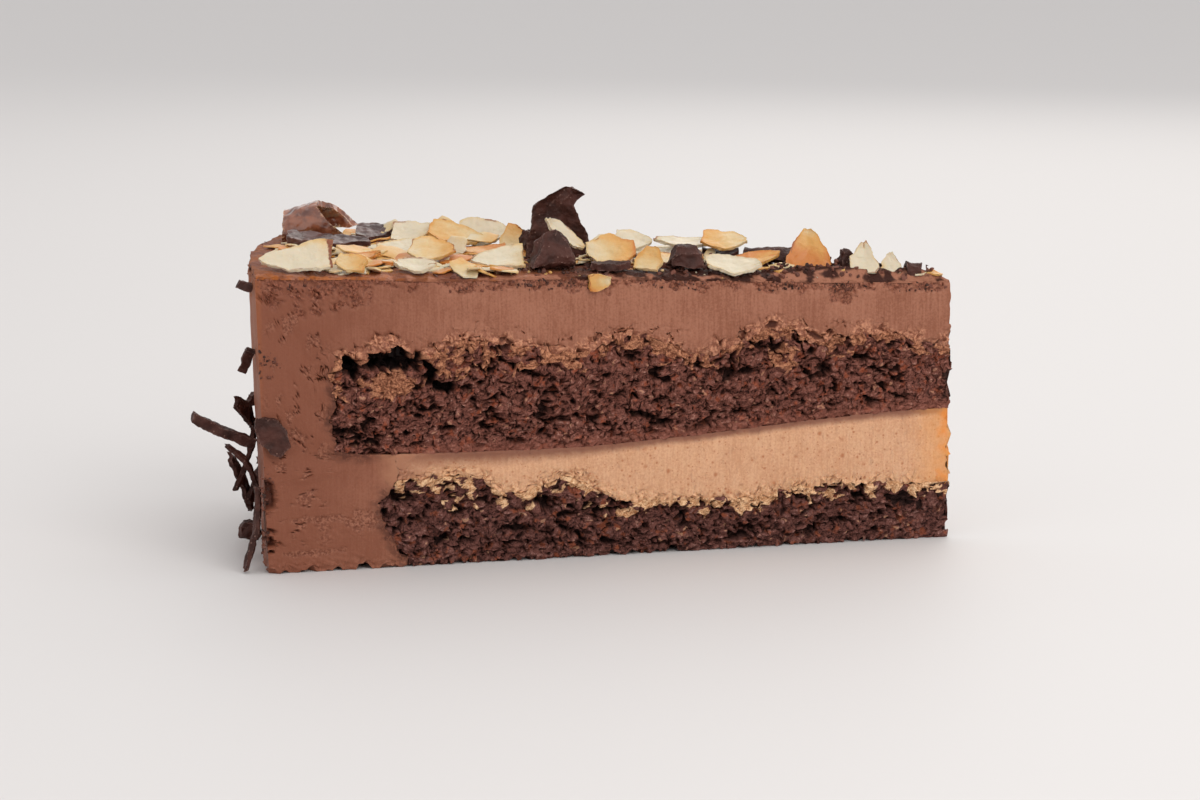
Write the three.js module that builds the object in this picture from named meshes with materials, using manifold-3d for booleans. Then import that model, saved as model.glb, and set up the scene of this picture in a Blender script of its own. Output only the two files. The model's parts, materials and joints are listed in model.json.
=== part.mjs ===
// One wedge cut from a round chocolate torte: two chocolate sponges with caramel cream between them,
// chocolate mousse over the top and down the rim, and a thin glaze that holds flaked almonds and dark
// chocolate. Chocolate shavings cling to the rim.
// Millimetres, +Z up. The wedge stands on z = 0 and is symmetric about the XZ plane: its point is at +X,
// its rim at -X, and its two cut faces look towards -Y (the front) and +Y.
import * as THREE from "three";
import { mergeVertices } from "three/addons/utils/BufferGeometryUtils.js";
import Module from "manifold-3d";

const wasm = await Module();
wasm.setup();

const { lerp, degToRad, radToDeg, smoothstep } = THREE.MathUtils;

// The whole cake and the cut
const cakeRadius = 132;
const cutAngle = degToRad(28);
const axisX = 67;
const tipRadius = 1.1;
const rimLean = 1.55;
const clear = 0.3;

// Heights of the layer boundaries on the front cut, as [distance from the rim, height above the base]
const boundaries = {
  top: [[0, 53.9], [45, 52.2], [132, 49.1]],
  upperTop: [[0, 39], [30, 38.6], [37, 41.5], [59, 38.4], [70, 41.3], [83, 36.8], [98, 42], [105, 38.2],
    [114, 40], [132, 37]],
  upperBottom: [[0, 23.5], [24, 21], [52, 20.7], [132, 25]],
  lowerTop: [[0, 16], [38, 16.3], [47, 12.6], [58, 15.4], [67, 10], [94, 9.7], [101, 11.4], [132, 10.7]],
};
// How far each boundary rises and falls from the front cut to the back one
const sway = { top: 0.4, upperTop: 1.1, upperBottom: -0.8, lowerTop: 1.2 };

// Where the sponges and the caramel end before the rim, measured from the cake's axis
const upperRadius = 118.4;
const coreRadius = 106.8;
const lowerSide = [[0, 104.7], [0.45, 109.2], [0.82, 110.7], [1, coreRadius]];

// How finely the layers are divided
const steps = { core: 27, ledge: 3, across: 5, lower: 4, caramel: 2, upper: 5, mousse: 3 };

// Depth of the torn crumb on the sponges' cut faces and of the knife's waves on the creams
const cragDepth = 0.8;
const knifeDepth = 0.15;
const fadeRadius = 25;

const glazeThickness = 0.7;
const settleStep = 0.2;
const touchVolume = 0.002;

const colours = {
  mousse: 0xa16c57,
  upperSponge: 0x522f27,
  lowerSponge: 0x462823,
  caramel: 0xcfa483,
  glaze: 0x8a4f30,
  pale: 0xd9c9b0,
  golden: 0xe1b37e,
  toasted: 0xd68d46,
  darkChocolate: 0x563631,
  milkChocolate: 0x6f3f33,
};
const roughness = { sponge: 0.95, caramel: 0.5, mousse: 0.55, glaze: 0.35, almond: 0.55, chocolate: 0.6 };

// A repeatable draw between 0 and 1
function draw(seed) {
  const value = Math.sin(seed * 127.1 + 11.7) * 43758.5453;
  return value - Math.floor(value);
}

// Draws between 0 and 1 that cover a range evenly: each quantity steps round by a fraction of its own
const evenStart = 0.31;
const evenSteps = {
  across: 0.618034,
  radius: 0.754878,
  length: 0.819173,
  width: 0.437,
  rise: 0.549,
  roll: 0.671,
  turn: 0.56984,
};

function evenDraw(quantity, k) {
  const value = evenStart + evenSteps[quantity] * k;
  return value - Math.floor(value);
}

// A value that runs smoothly through [place, value] pairs
function through(pairs, place) {
  const next = pairs.findIndex(([start]) => start >= place);
  if (next === 0) return pairs[0][1];
  if (next < 0) return pairs[pairs.length - 1][1];
  const [startPlace, startValue] = pairs[next - 1];
  const [endPlace, endValue] = pairs[next];
  return lerp(startValue, endValue, smoothstep(place, startPlace, endPlace));
}

// Falls to 0 at the point, where the wedge is too thin for relief
function pointFade(radius) {
  return Math.min(1, radius / fadeRadius);
}

// A boundary's height at a distance from the cake's axis; across runs from 0, front cut, to 1, back cut
function boundaryHeight(name, radius, across) {
  const atFront = through(boundaries[name], cakeRadius - radius);
  return atFront + sway[name] * Math.sin(1.5 * Math.PI * across) * pointFade(radius);
}

function rimRadius(height) {
  const rimHeight = boundaries.top[0][1];
  return cakeRadius - rimLean * (1 - height / rimHeight);
}

function cutDirection(across) {
  return cutAngle * (across - 0.5);
}

function aroundAxis(radius, angle, height) {
  return new THREE.Vector3(axisX - radius * Math.cos(angle), radius * Math.sin(angle), height);
}

// A box of welded vertices, each moved to the place that warp gives for its shares of the box's three sides
function warpedBox([alongSteps, acrossSteps, upSteps], warp) {
  const box = new THREE.BoxGeometry(1, 1, 1, alongSteps, acrossSteps, upSteps);
  box.deleteAttribute("normal");
  box.deleteAttribute("uv");
  const welded = mergeVertices(box, 1e-5);
  const places = welded.getAttribute("position");
  for (let i = 0; i < places.count; i++) {
    const spot = warp(places.getX(i) + 0.5, places.getY(i) + 0.5, places.getZ(i) + 0.5);
    places.setXYZ(i, spot.x, spot.y, spot.z);
  }
  return welded;
}

function solidOf(mesh) {
  mesh.updateMatrixWorld(true);
  const placed = mesh.geometry.clone().applyMatrix4(mesh.matrixWorld);
  return new wasm.Manifold(new wasm.Mesh({
    numProp: 3,
    vertProperties: new Float32Array(placed.getAttribute("position").array),
    triVerts: new Uint32Array(placed.getIndex().array),
  }));
}

function geometryOf(solid) {
  const { vertProperties, triVerts } = solid.getMesh();
  const geometry = new THREE.BufferGeometry();
  geometry.setAttribute("position", new THREE.BufferAttribute(vertProperties, 3));
  geometry.setIndex(new THREE.BufferAttribute(triVerts, 1));
  return geometry;
}

const torte = new THREE.Group();
const settled = [];

function addPiece(name, geometry, colour, surface) {
  geometry.computeVertexNormals();
  const finish = { color: colours[colour], roughness: roughness[surface], metalness: 0 };
  const mesh = new THREE.Mesh(geometry, new THREE.MeshStandardMaterial(finish));
  mesh.name = name;
  torte.add(mesh);
  return mesh;
}

function addLayer(name, geometry, colour, surface) {
  settled.push(solidOf(addPiece(name, geometry, colour, surface)));
}

// Moves a piece along a direction until it is clear of everything that is already in place
function settle(mesh, direction) {
  const crosses = () => {
    const solid = solidOf(mesh);
    return settled.some((other) => other.intersect(solid).volume() > touchVolume);
  };
  while (crosses()) mesh.position.addScaledVector(direction, settleStep);
  mesh.position.addScaledVector(direction, clear / 2);
  settled.push(solidOf(mesh));
}

// The layers

// Distances from the axis at which the layers have their vertices, from the rim end to the point
function evenRadii(start, end, count) {
  return Array.from({ length: count }, (_, i) => lerp(start, end, i / count));
}

const ledgeRadii = evenRadii(upperRadius, coreRadius, steps.ledge);
const coreRadii = [...evenRadii(coreRadius, tipRadius, steps.core), tipRadius];
const upperRadii = [...ledgeRadii, ...coreRadii];
const topStretch = (cakeRadius - tipRadius) / (upperRadius - tipRadius);
const topRadii = upperRadii.map((radius) => tipRadius + (radius - tipRadius) * topStretch);

// Moves a vertex of a cut face in or out; vertices inside the layer and on the face's border stay
function roughen(spot, shares, radius, depth) {
  const [along, across, up] = shares;
  const onCut = across < 0.001 || across > 0.999;
  const onBorder = Math.min(along, 1 - along, up, 1 - up) < 0.001;
  if (!onCut || onBorder) return spot;
  const angle = cutDirection(across);
  const outward = across < 0.5 ? -1 : 1;
  const swing = 2 * draw(spot.x * 0.37 + spot.z * 1.9 + outward) - 1;
  const reach = outward * depth * swing * pointFade(radius);
  return spot.add(new THREE.Vector3(Math.sin(angle) * reach, Math.cos(angle) * reach, 0));
}

function sideRadius(up) {
  return through(lowerSide, up);
}

function lowerSpongeGeometry() {
  return warpedBox([steps.core, steps.across, steps.lower], (along, across, up) => {
    const radius = lerp(sideRadius(up), tipRadius, along);
    const roof = boundaryHeight("lowerTop", lerp(coreRadius, tipRadius, along), across) - clear / 2;
    const spot = aroundAxis(radius, cutDirection(across), up * roof);
    return roughen(spot, [along, across, up], radius, cragDepth);
  });
}

function caramelGeometry() {
  return warpedBox([steps.core, steps.across, steps.caramel], (along, across, up) => {
    const radius = coreRadii[Math.round(along * steps.core)];
    const floor = boundaryHeight("lowerTop", radius, across) + clear / 2;
    const roof = boundaryHeight("upperBottom", radius, across) - clear / 2;
    const spot = aroundAxis(radius, cutDirection(across), lerp(floor, roof, up));
    return roughen(spot, [along, across, up], radius, knifeDepth);
  });
}

function upperSpongeGeometry() {
  const alongSteps = upperRadii.length - 1;
  return warpedBox([alongSteps, steps.across, steps.upper], (along, across, up) => {
    const radius = upperRadii[Math.round(along * alongSteps)];
    const floor = boundaryHeight("upperBottom", radius, across) + clear / 2;
    const roof = boundaryHeight("upperTop", radius, across) - clear / 2;
    const spot = aroundAxis(radius, cutDirection(across), lerp(floor, roof, up));
    return roughen(spot, [along, across, up], radius, cragDepth);
  });
}

// The mousse's inner side as [distance from the axis, height], from the floor up round the sponges
function mousseInside(across) {
  const path = [];
  for (let i = 0; i <= steps.lower; i++) {
    const up = i / steps.lower;
    path.push([sideRadius(up) + clear, up * boundaryHeight("lowerTop", coreRadius, across)]);
  }
  for (const radius of [coreRadius + clear, ...ledgeRadii.slice(1).reverse(), upperRadius + clear]) {
    path.push([radius, boundaryHeight("upperBottom", radius, across) - clear / 2]);
  }
  const ledgeHeight = path[path.length - 1][1];
  const shoulder = boundaryHeight("upperTop", upperRadius, across) + clear / 2;
  for (let i = 1; i <= steps.upper; i++) {
    path.push([upperRadius + clear, lerp(ledgeHeight, shoulder, i / steps.upper)]);
  }
  for (const radius of upperRadii.slice(1)) {
    path.push([radius, boundaryHeight("upperTop", radius, across) + clear / 2]);
  }
  return path;
}

// The mousse's outer side with as many points: up the rim, then in over the top
function mousseOutside(across, wallSteps) {
  const path = [];
  const rimHeight = boundaryHeight("top", cakeRadius, across);
  const ledgeHeight = boundaryHeight("upperBottom", upperRadius, across);
  const ledgeSteps = steps.lower + steps.ledge + 1;
  for (let i = 0; i <= wallSteps; i++) {
    const height = i <= ledgeSteps
      ? ledgeHeight * i / ledgeSteps
      : lerp(ledgeHeight, rimHeight, (i - ledgeSteps) / (wallSteps - ledgeSteps));
    path.push([rimRadius(height), height]);
  }
  for (const radius of topRadii.slice(1)) {
    path.push([radius, boundaryHeight("top", radius, across)]);
  }
  return path;
}

function mousseGeometry() {
  const alongSteps = mousseInside(0).length - 1;
  const wallSteps = alongSteps - (upperRadii.length - 1);
  const inside = [];
  const outside = [];
  for (let i = 0; i <= steps.across; i++) {
    inside.push(mousseInside(i / steps.across));
    outside.push(mousseOutside(i / steps.across, wallSteps));
  }
  return warpedBox([alongSteps, steps.across, steps.mousse], (along, across, up) => {
    const station = Math.round(along * alongSteps);
    const row = Math.round(across * steps.across);
    const [innerRadius, innerHeight] = inside[row][station];
    const [outerRadius, outerHeight] = outside[row][station];
    const radius = lerp(innerRadius, outerRadius, up);
    const spot = aroundAxis(radius, cutDirection(across), lerp(innerHeight, outerHeight, up));
    return roughen(spot, [along, across, up], radius, knifeDepth);
  });
}

addLayer("lower_sponge", lowerSpongeGeometry(), "lowerSponge", "sponge");
addLayer("caramel_cream", caramelGeometry(), "caramel", "caramel");
addLayer("upper_sponge", upperSpongeGeometry(), "upperSponge", "sponge");
addLayer("chocolate_mousse", mousseGeometry(), "mousse", "mousse");

// Flakes, chunks and curls

// A thin flake along X, its outline the part of a sine wave from a start to an end. By default it has one
// blunt, broken end and one pointed end
const outlines = { whole: [0.04, 0.97], teardrop: [0.15, 0.98], round: [0.12, 0.9], half: [0.4, 0.98] };
const flakeShape = {
  smallSteps: 4,
  largeSteps: 6,
  blunt: [0.1, 0.34],
  pointed: [0.8, 0.96],
  fullness: 0.75,
  ragged: 0.26,
  brokenEnd: 0.1,
};

function drawnOutline(seed) {
  return [lerp(...flakeShape.blunt, draw(seed + 0.21)), lerp(...flakeShape.pointed, draw(seed + 0.43))];
}

function flakeGeometry(length, width, thickness, bow, seed, outline = drawnOutline(seed)) {
  const alongSteps = bow > 0 ? flakeShape.largeSteps : flakeShape.smallSteps;
  const acrossSteps = bow > 0 ? 2 : 1;
  return warpedBox([alongSteps, acrossSteps, 1], (along, across, up) => {
    const edge = draw(seed + 3 * Math.round(along * alongSteps) + 17 * Math.round(across));
    const swell = Math.sin(Math.PI * lerp(...outline, along)) ** flakeShape.fullness;
    const halfWidth = 0.5 * width * swell * (1 + flakeShape.ragged * (edge - 0.5));
    const lengthwise = 2 * along - 1;
    const sideways = 2 * across - 1;
    const broken = Math.abs(lengthwise) > 0.99 ? flakeShape.brokenEnd * (edge - 0.5) : 0;
    return new THREE.Vector3(
      length * (0.5 * lengthwise + broken),
      halfWidth * sideways,
      bow * (lengthwise ** 2 + 0.5 * sideways ** 2) + thickness * (up - 0.5),
    );
  });
}

// A broken chunk: a box whose corners are partly rounded off and knocked about, narrower at its top by taper
const chunkShape = { roundness: 0.55, knock: 0.16 };

function chunkGeometry(length, width, height, taper, seed) {
  return warpedBox([3, 3, 3], (along, across, up) => {
    const spot = new THREE.Vector3(2 * along - 1, 2 * across - 1, 2 * up - 1);
    spot.lerp(spot.clone().normalize(), chunkShape.roundness);
    const corner = seed + 5 * along + 23 * across + 71 * up;
    spot.multiplyScalar(1 + chunkShape.knock * (2 * draw(corner) - 1));
    const narrowed = 1 - taper * up;
    return spot.multiply(new THREE.Vector3(narrowed * length / 2, narrowed * width / 2, height / 2));
  });
}

// A thin sheet curled round an axis along X through sweep degrees, wider at one end than at the other; with
// slant, that end reaches further the lower the sheet comes
function curlGeometry(length, startRadius, endRadius, sweep, thickness, slant = 0) {
  return warpedBox([4, 8, 1], (along, across, up) => {
    const angle = degToRad(sweep) * (across - 0.5);
    const radius = lerp(startRadius, endRadius, along) + thickness * (up - 0.5);
    const reach = slant * along * radius * (1 - Math.cos(angle));
    const lengthwise = length * (along - 0.5) + reach;
    return new THREE.Vector3(lengthwise, radius * Math.sin(angle), radius * Math.cos(angle));
  });
}

// A bent square stick along X
function stickGeometry(length, side, bow) {
  return warpedBox([4, 1, 1], (along, across, up) => new THREE.Vector3(
    length * (along - 0.5),
    side * (across - 0.5),
    side * (up - 0.5) + bow * (2 * along - 1) ** 2,
  ));
}

// An upright sheet that narrows to a tip hooked towards +X, its width and lean given by share of its height
const shard = {
  height: 13,
  thickness: 1.6,
  hollow: 1.8,
  width: [[0, 12.6], [0.3, 11.1], [0.55, 9], [0.74, 7.4], [0.84, 6.8], [0.92, 6.4], [1, 2.4]],
  lean: [[0, 0.1], [0.3, 0], [0.55, -0.6], [0.74, -0.8], [0.84, 0.1], [0.92, 1.7], [1, 2.2]],
};

function shardGeometry() {
  return warpedBox([3, 1, 12], (along, across, up) => {
    const sideways = (along - 0.5) * through(shard.width, up);
    const inward = shard.hollow * (4 * (along - 0.5) ** 2 + 0.6 * up ** 2);
    return new THREE.Vector3(
      through(shard.lean, up) + sideways,
      shard.thickness * (1 - 0.5 * up) * (across - 0.5) - inward,
      shard.height * (up - 0.5),
    );
  });
}

// Turns a piece about the vertical, then lifts its +X end, then rolls it about its own length
function pose(mesh, turn, rise, roll) {
  mesh.rotation.set(degToRad(roll), -degToRad(rise), degToRad(turn), "ZYX");
}

// What lies on the glaze, each piece let down on what is already there

// A sheet of one thickness over the whole top
function topSheet(thickness) {
  const alongSteps = topRadii.length - 1;
  const geometry = warpedBox([alongSteps, steps.across, 1], (along, across, up) => {
    const radius = topRadii[Math.round(along * alongSteps)];
    const height = boundaryHeight("top", radius, across) + clear + thickness * up;
    return aroundAxis(radius, cutDirection(across), height);
  });
  return solidOf(new THREE.Mesh(geometry));
}

settled.push(topSheet(glazeThickness));
const firstOnTop = settled.length;

const upwards = new THREE.Vector3(0, 0, 1);

// The height of the glaze below a place on the top
function glazeHeight(x, y) {
  const radius = Math.hypot(axisX - x, y);
  const across = Math.atan2(y, axisX - x) / cutAngle + 0.5;
  return boundaryHeight("top", radius, across) + clear + glazeThickness;
}

function layOnTop(mesh, x, y, turn, rise, roll) {
  mesh.position.set(x, y, glazeHeight(x, y));
  pose(mesh, turn, rise, roll);
  settle(mesh, upwards);
}

const chocolate = { thickness: 1.2, bow: 0.4 };

function chocolateFlake(length, width, seed) {
  return flakeGeometry(length, width, chocolate.thickness, chocolate.bow, seed);
}

function addChocolate(name, geometry, [x, y, turn, rise, roll], colour = "darkChocolate") {
  layOnTop(addPiece(name, geometry, colour, "chocolate"), x, y, turn, rise, roll);
}

// Chocolate on the top, each piece with its [x, y, turn, rise, roll]
addChocolate("chocolate_flake_rim", chocolateFlake(16, 6.6, 1), [-51.5, 5.4, 4, -4, 8]);
addChocolate("chocolate_flake_back", chocolateFlake(7.6, 6.2, 2), [-43.6, 20.6, 6, 3, 16]);
addChocolate("chocolate_flake_front", chocolateFlake(7, 3.4, 3), [2.2, -13.4, 6, 0, 8]);
const scroll = curlGeometry(6.6, 3.8, 5.2, 205, 1, 0.9);
addChocolate("chocolate_scroll", scroll, [-57, 16.4, -8, 6, 6], "milkChocolate");
addChocolate("chocolate_chunk", chunkGeometry(9.8, 8.2, 6.8, 0.62, 4), [-8.6, -13.4, 12, 0, 0]);
addChocolate("chocolate_chunk_left", chunkGeometry(4.4, 4.4, 5, 0.4, 5), [-13.4, 7.6, 30, 0, 0]);
addChocolate("chocolate_shard", shardGeometry(), [-7.8, 2, 4, 0, -6]);
addChocolate("chocolate_chunk_middle", chunkGeometry(7, 5.4, 4.6, 0.35, 6), [16, -7.2, 10, 0, 0]);
addChocolate("chocolate_flake_point", chocolateFlake(7, 5.2, 7), [22.8, 5.6, -6, 2, 12]);
addChocolate("chocolate_curl", curlGeometry(10, 2.8, 3.4, 118, 1.2), [32.2, 4.4, -4, -3, 4]);
addChocolate("chocolate_chunk_point", chunkGeometry(3.2, 3.2, 4.4, 0.3, 8), [46.4, 1, 20, 0, 0]);
addChocolate("chocolate_curl_point", curlGeometry(3, 1.4, 1.2, 230, 0.8), [59.2, 0.2, 4, -6, 0]);

// Flaked almonds as [x, y, length, width, turn, rise, roll, toasting, outline], the lowest first
const almonds = [
  [-43.5, -12.6, 6.6, 4.2, 8, 6, 6, "toasted", "whole"],
  [-21.5, 3.4, 8.2, 5, 10, 5, 8, "toasted"],
  [13.4, -1, 11.6, 6.4, 4, -2, 8, "golden", "whole"],
  [-37, 1, 10.2, 7, 6, 5, 12, "pale", "teardrop"],
  [-36, 17.8, 8.2, 6.8, -4, 4, 26, "pale"],
  [-22.8, 19.4, 8.6, 7, -6, -3, 40, "pale"],
  [11.4, 7, 9.6, 5.6, 6, 5, 10, "pale", "whole"],
  [-30.8, -8.8, 8.6, 8.2, -8, -3, 24, "golden", "teardrop"],
  [-18.4, -12.4, 10, 8, 184, -3, -20, "pale", "half"],
  [-28, 15.4, 9.6, 6.4, -10, -14, 28, "golden"],
  [-54.4, -26.4, 12.8, 8.4, 186, -6, -30, "pale", "half"],
  [-44.4, -26, 5.8, 4.6, -20, -12, 30, "golden"],
  [-33.2, -21.4, 7.6, 5, -4, -3, 20, "pale", "whole"],
  [-16.6, 12.4, 6.2, 5, 84, 46, 0, "golden"],
  [2.2, -7, 8.4, 8.2, 4, 2, 34, "golden", "round"],
  [9.4, -11, 5.6, 5.2, 70, 42, 0, "golden"],
  [25.4, -7.6, 10.6, 7, -6, -3, 20, "pale", "teardrop"],
  [28.8, -0.6, 10, 4.6, 4, 8, 22, "toasted", "whole"],
  [6.4, 10.4, 7, 6.2, -6, -8, 24, "pale", "teardrop"],
  [17, 7.2, 12.6, 5.8, -2, -3, 10, "pale", "whole"],
  [23.6, 5, 8.8, 6.6, -4, -4, 22, "golden", "teardrop"],
  [39.3, -0.6, 8.4, 7.8, 90, 64, 0, "toasted", "half"],
  [49.6, -1, 6, 5.4, 92, 60, 0, "pale", "half"],
  [54.9, 0.6, 4.4, 4, 86, 54, 0, "pale", "half"],
  [-6.4, -9.6, 9.4, 3, -8, -38, 40, "pale", "whole"],
];
const almondThickness = 0.8;
const almondBow = 0.45;

almonds.forEach(([x, y, length, width, turn, rise, roll, toasting, outline], i) => {
  const name = `almond_${String(i + 1).padStart(2, "0")}`;
  const geometry = flakeGeometry(length, width, almondThickness, almondBow, i + 0.5, outlines[outline]);
  layOnTop(addPiece(name, geometry, toasting, "almond"), x, y, turn, rise, roll);
});

// The glaze, with the smaller flakes of the heap fused to it wherever no larger piece lies

// Flakes of the heap, spread by a rule
const heap = {
  count: 145,
  thickness: 0.75,
  length: [4.5, 9],
  slimness: [0.6, 0.85],
  across: [0.06, 0.95],
  radiusShare: [0.02, 0.9],
  tip: 14,
  rest: 0.25,
  secondLayer: 0.95,
  trimHeight: 20,
};

function heapFlake(k) {
  const across = lerp(...heap.across, evenDraw("across", k));
  const radius = cakeRadius * Math.sqrt(lerp(...heap.radiusShare, evenDraw("radius", k)));
  const length = lerp(...heap.length, evenDraw("length", k));
  const width = length * lerp(...heap.slimness, evenDraw("width", k));
  const geometry = flakeGeometry(length, width, heap.thickness, 0, k);
  const mesh = new THREE.Mesh(geometry);
  const surface = boundaryHeight("top", radius, across) + clear + glazeThickness;
  const height = surface + heap.rest + heap.secondLayer * (k % 2);
  mesh.position.copy(aroundAxis(radius, cutDirection(across), height));
  const rise = heap.tip * (2 * evenDraw("rise", k) - 1);
  const roll = heap.tip * (2 * evenDraw("roll", k) - 1);
  pose(mesh, 360 * evenDraw("turn", k), rise, roll);
  return mesh;
}

// The heap is cut off where the knife went and where the mousse begins
function glazeGeometry() {
  const onTop = settled.slice(firstOnTop);
  let fused = topSheet(glazeThickness);
  for (let k = 0; k < heap.count; k++) {
    const flake = solidOf(heapFlake(k));
    const free = onTop.every((piece) => piece.minGap(flake, clear) >= clear / 2);
    if (free) fused = fused.add(flake);
  }
  const trimmed = fused.intersect(topSheet(heap.trimHeight));
  const [largest] = trimmed.decompose().sort((first, second) => second.volume() - first.volume());
  return geometryOf(largest);
}

addLayer("almond_glaze", glazeGeometry(), "glaze", "glaze");

// Pieces pressed against the front cut are brought out of it until they are clear

const cutNormal = new THREE.Vector3(Math.sin(cutAngle / 2), -Math.cos(cutAngle / 2), 0);
const cutTurn = radToDeg(cutAngle / 2);

function layOnCut(mesh, fromRim, height, inPlane) {
  mesh.position.copy(aroundAxis(cakeRadius - fromRim, -cutAngle / 2, height));
  pose(mesh, cutTurn, inPlane, 90);
  settle(mesh, cutNormal);
}

layOnCut(addPiece("almond_on_cut", flakeGeometry(4.2, 2.8, 1, 0, 4), "golden", "almond"), 63, 51.6, 4);
const rimFlake = flakeGeometry(8.2, 4.8, 1.1, 0.3, 2, outlines.teardrop);
layOnCut(addPiece("rim_flake", rimFlake, "darkChocolate", "chocolate"), 2, 26, 128);

// Shavings on the rim

// The direction straight out of the rim at an angle round the axis
function outOfRim(angle) {
  return new THREE.Vector3(-Math.cos(angle), Math.sin(angle), 0);
}

// A shaving that lies along the rim and stands off it towards its far end
const shavingShape = { thickness: 0.8, cup: 0.35, endWidth: 0.55 };

function ribbonGeometry({ place, height, length, width, slope, flare }) {
  const { thickness, cup, endWidth } = shavingShape;
  return warpedBox([6, 2, 1], (along, across, up) => {
    const lengthwise = length * (along - 0.5);
    const sideways = width * (across - 0.5) * lerp(endWidth, 1, Math.sin(Math.PI * along));
    const rimPlace = place - lengthwise * Math.cos(slope) + sideways * Math.sin(slope);
    const spotHeight = height + lengthwise * Math.sin(slope) + sideways * Math.cos(slope);
    const standOff = flare * along ** 2 + cup * (2 * across - 1) ** 2 + clear + thickness * up;
    return aroundAxis(rimRadius(spotHeight) + standOff, rimPlace / cakeRadius, spotHeight);
  });
}

function addRibbon(name, shaving) {
  const mesh = addPiece(name, ribbonGeometry(shaving), "darkChocolate", "chocolate");
  settle(mesh, outOfRim(shaving.place / cakeRadius));
}

// A piece that stands out of the rim: its middle is standOff away from the wall
function layOnRim(mesh, place, height, standOff, rise, roll) {
  const angle = place / cakeRadius;
  mesh.position.copy(aroundAxis(rimRadius(height) + standOff, angle, height));
  pose(mesh, 180 - radToDeg(angle), rise, roll);
  settle(mesh, outOfRim(angle));
}

const blade = { place: -23, height: 18.4, length: 8.8, width: 2.2, slope: degToRad(74), flare: 4.6 };
const strip = { place: -29.6, height: 8.1, length: 15.2, width: 3, slope: degToRad(-86), flare: 3.2 };
addRibbon("rim_blade", blade);
addRibbon("rim_strip", strip);

function addRimPiece(name, geometry, place, height, standOff, rise, roll) {
  const mesh = addPiece(name, geometry, "darkChocolate", "chocolate");
  layOnRim(mesh, place, height, standOff, rise, roll);
}

addRimPiece("rim_stick_long", stickGeometry(12.4, 1.8, 0.25), -19, 24, 5.6, 25, 0);
addRimPiece("rim_stick_short", stickGeometry(2.6, 1.4, 0), -28, 52.2, 0.2, 22, 0);
addRimPiece("rim_hook", curlGeometry(1.7, 2, 2, 200, 0.7), -27, 38.4, 0.4, 20, 90);
addRimPiece("rim_chunk", chunkGeometry(4.4, 3.8, 3.4, 0.2, 8), -18, 5.2, 1.2, 8, 0);

// The shavings on the rest of the rim, spread by a rule and thicker towards the base
const spread = {
  count: 10,
  place: [-14, 29],
  height: [6, 33],
  towardsBase: 1.6,
  length: [9, 15],
  width: [2.4, 4.2],
  slope: [-75, 75],
  flare: [0.6, 4],
};

for (let k = 0; k < spread.count; k++) {
  addRibbon(`rim_shaving_${String(k + 1).padStart(2, "0")}`, {
    place: lerp(...spread.place, evenDraw("across", k)),
    height: lerp(...spread.height, evenDraw("radius", k) ** spread.towardsBase),
    length: lerp(...spread.length, evenDraw("length", k)),
    width: lerp(...spread.width, evenDraw("width", k)),
    slope: degToRad(lerp(...spread.slope, evenDraw("turn", k))),
    flare: lerp(...spread.flare, evenDraw("rise", k)),
  });
}

export default torte;
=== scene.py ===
import json
import math
import bpy
import numpy as np
from mathutils import Euler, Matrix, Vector, kdtree
from mathutils.bvhtree import BVHTree


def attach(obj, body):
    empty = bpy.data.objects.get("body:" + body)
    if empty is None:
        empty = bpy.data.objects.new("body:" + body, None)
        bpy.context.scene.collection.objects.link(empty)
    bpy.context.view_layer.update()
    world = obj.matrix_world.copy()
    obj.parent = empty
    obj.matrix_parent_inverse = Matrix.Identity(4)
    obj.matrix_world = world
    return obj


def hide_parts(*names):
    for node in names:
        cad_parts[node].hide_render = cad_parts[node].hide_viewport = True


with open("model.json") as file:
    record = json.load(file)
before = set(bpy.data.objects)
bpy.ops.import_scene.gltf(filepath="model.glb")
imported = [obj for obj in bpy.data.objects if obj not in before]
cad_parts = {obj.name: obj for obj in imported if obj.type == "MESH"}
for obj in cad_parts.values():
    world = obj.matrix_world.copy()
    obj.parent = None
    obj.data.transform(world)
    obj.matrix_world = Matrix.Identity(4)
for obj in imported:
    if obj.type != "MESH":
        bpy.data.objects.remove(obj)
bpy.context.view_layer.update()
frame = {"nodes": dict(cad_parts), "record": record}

mm = 0.001
cake = {"radius": 132, "cutAngle": 28, "axisX": 67, "thinPoint": (2, 16), "above": 120}  # mm and degrees
halfCut = math.radians(cake["cutAngle"] / 2)
slotOf = {row["node"]: row["material_slot"] for row in frame["record"]["subparts"]}


# Node arithmetic, shared by the materials and by the relief of the meshes

class Field:
    def __init__(self, tree, socket=None):
        self.tree = tree
        self.socket = socket

    def node(self, kind, settings=None, sockets=None, output=0):
        made = self.tree.nodes.new(kind)
        for name, value in (settings or {}).items():
            setattr(made, name, value)
        for name, value in (sockets or {}).items():
            if isinstance(value, Field):
                self.tree.links.new(value.socket, made.inputs[name])
            else:
                made.inputs[name].default_value = value
        return Field(self.tree, made.outputs[output])

    def math(self, operation, *values):
        return self.node("ShaderNodeMath", {"operation": operation}, dict(enumerate(values)))

    def __add__(self, other):
        return self.math("ADD", self, other)

    def __radd__(self, other):
        return self.math("ADD", other, self)

    def __sub__(self, other):
        return self.math("SUBTRACT", self, other)

    def __rsub__(self, other):
        return self.math("SUBTRACT", other, self)

    def __mul__(self, other):
        return self.math("MULTIPLY", self, other)

    def __rmul__(self, other):
        return self.math("MULTIPLY", other, self)

    def __truediv__(self, other):
        return self.math("DIVIDE", self, other)

    def __abs__(self):
        return self.math("ABSOLUTE", self)


def rise(value, low, high):  # 0 up to low, 1 from high on, smooth between
    return value.node("ShaderNodeMapRange", {"interpolation_type": "SMOOTHSTEP"}, {0: value, 1: low, 2: high})


def fall(value, low, high):
    return 1 - rise(value, low, high)


def most(first, second):
    return first.math("MAXIMUM", first, second)


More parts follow.
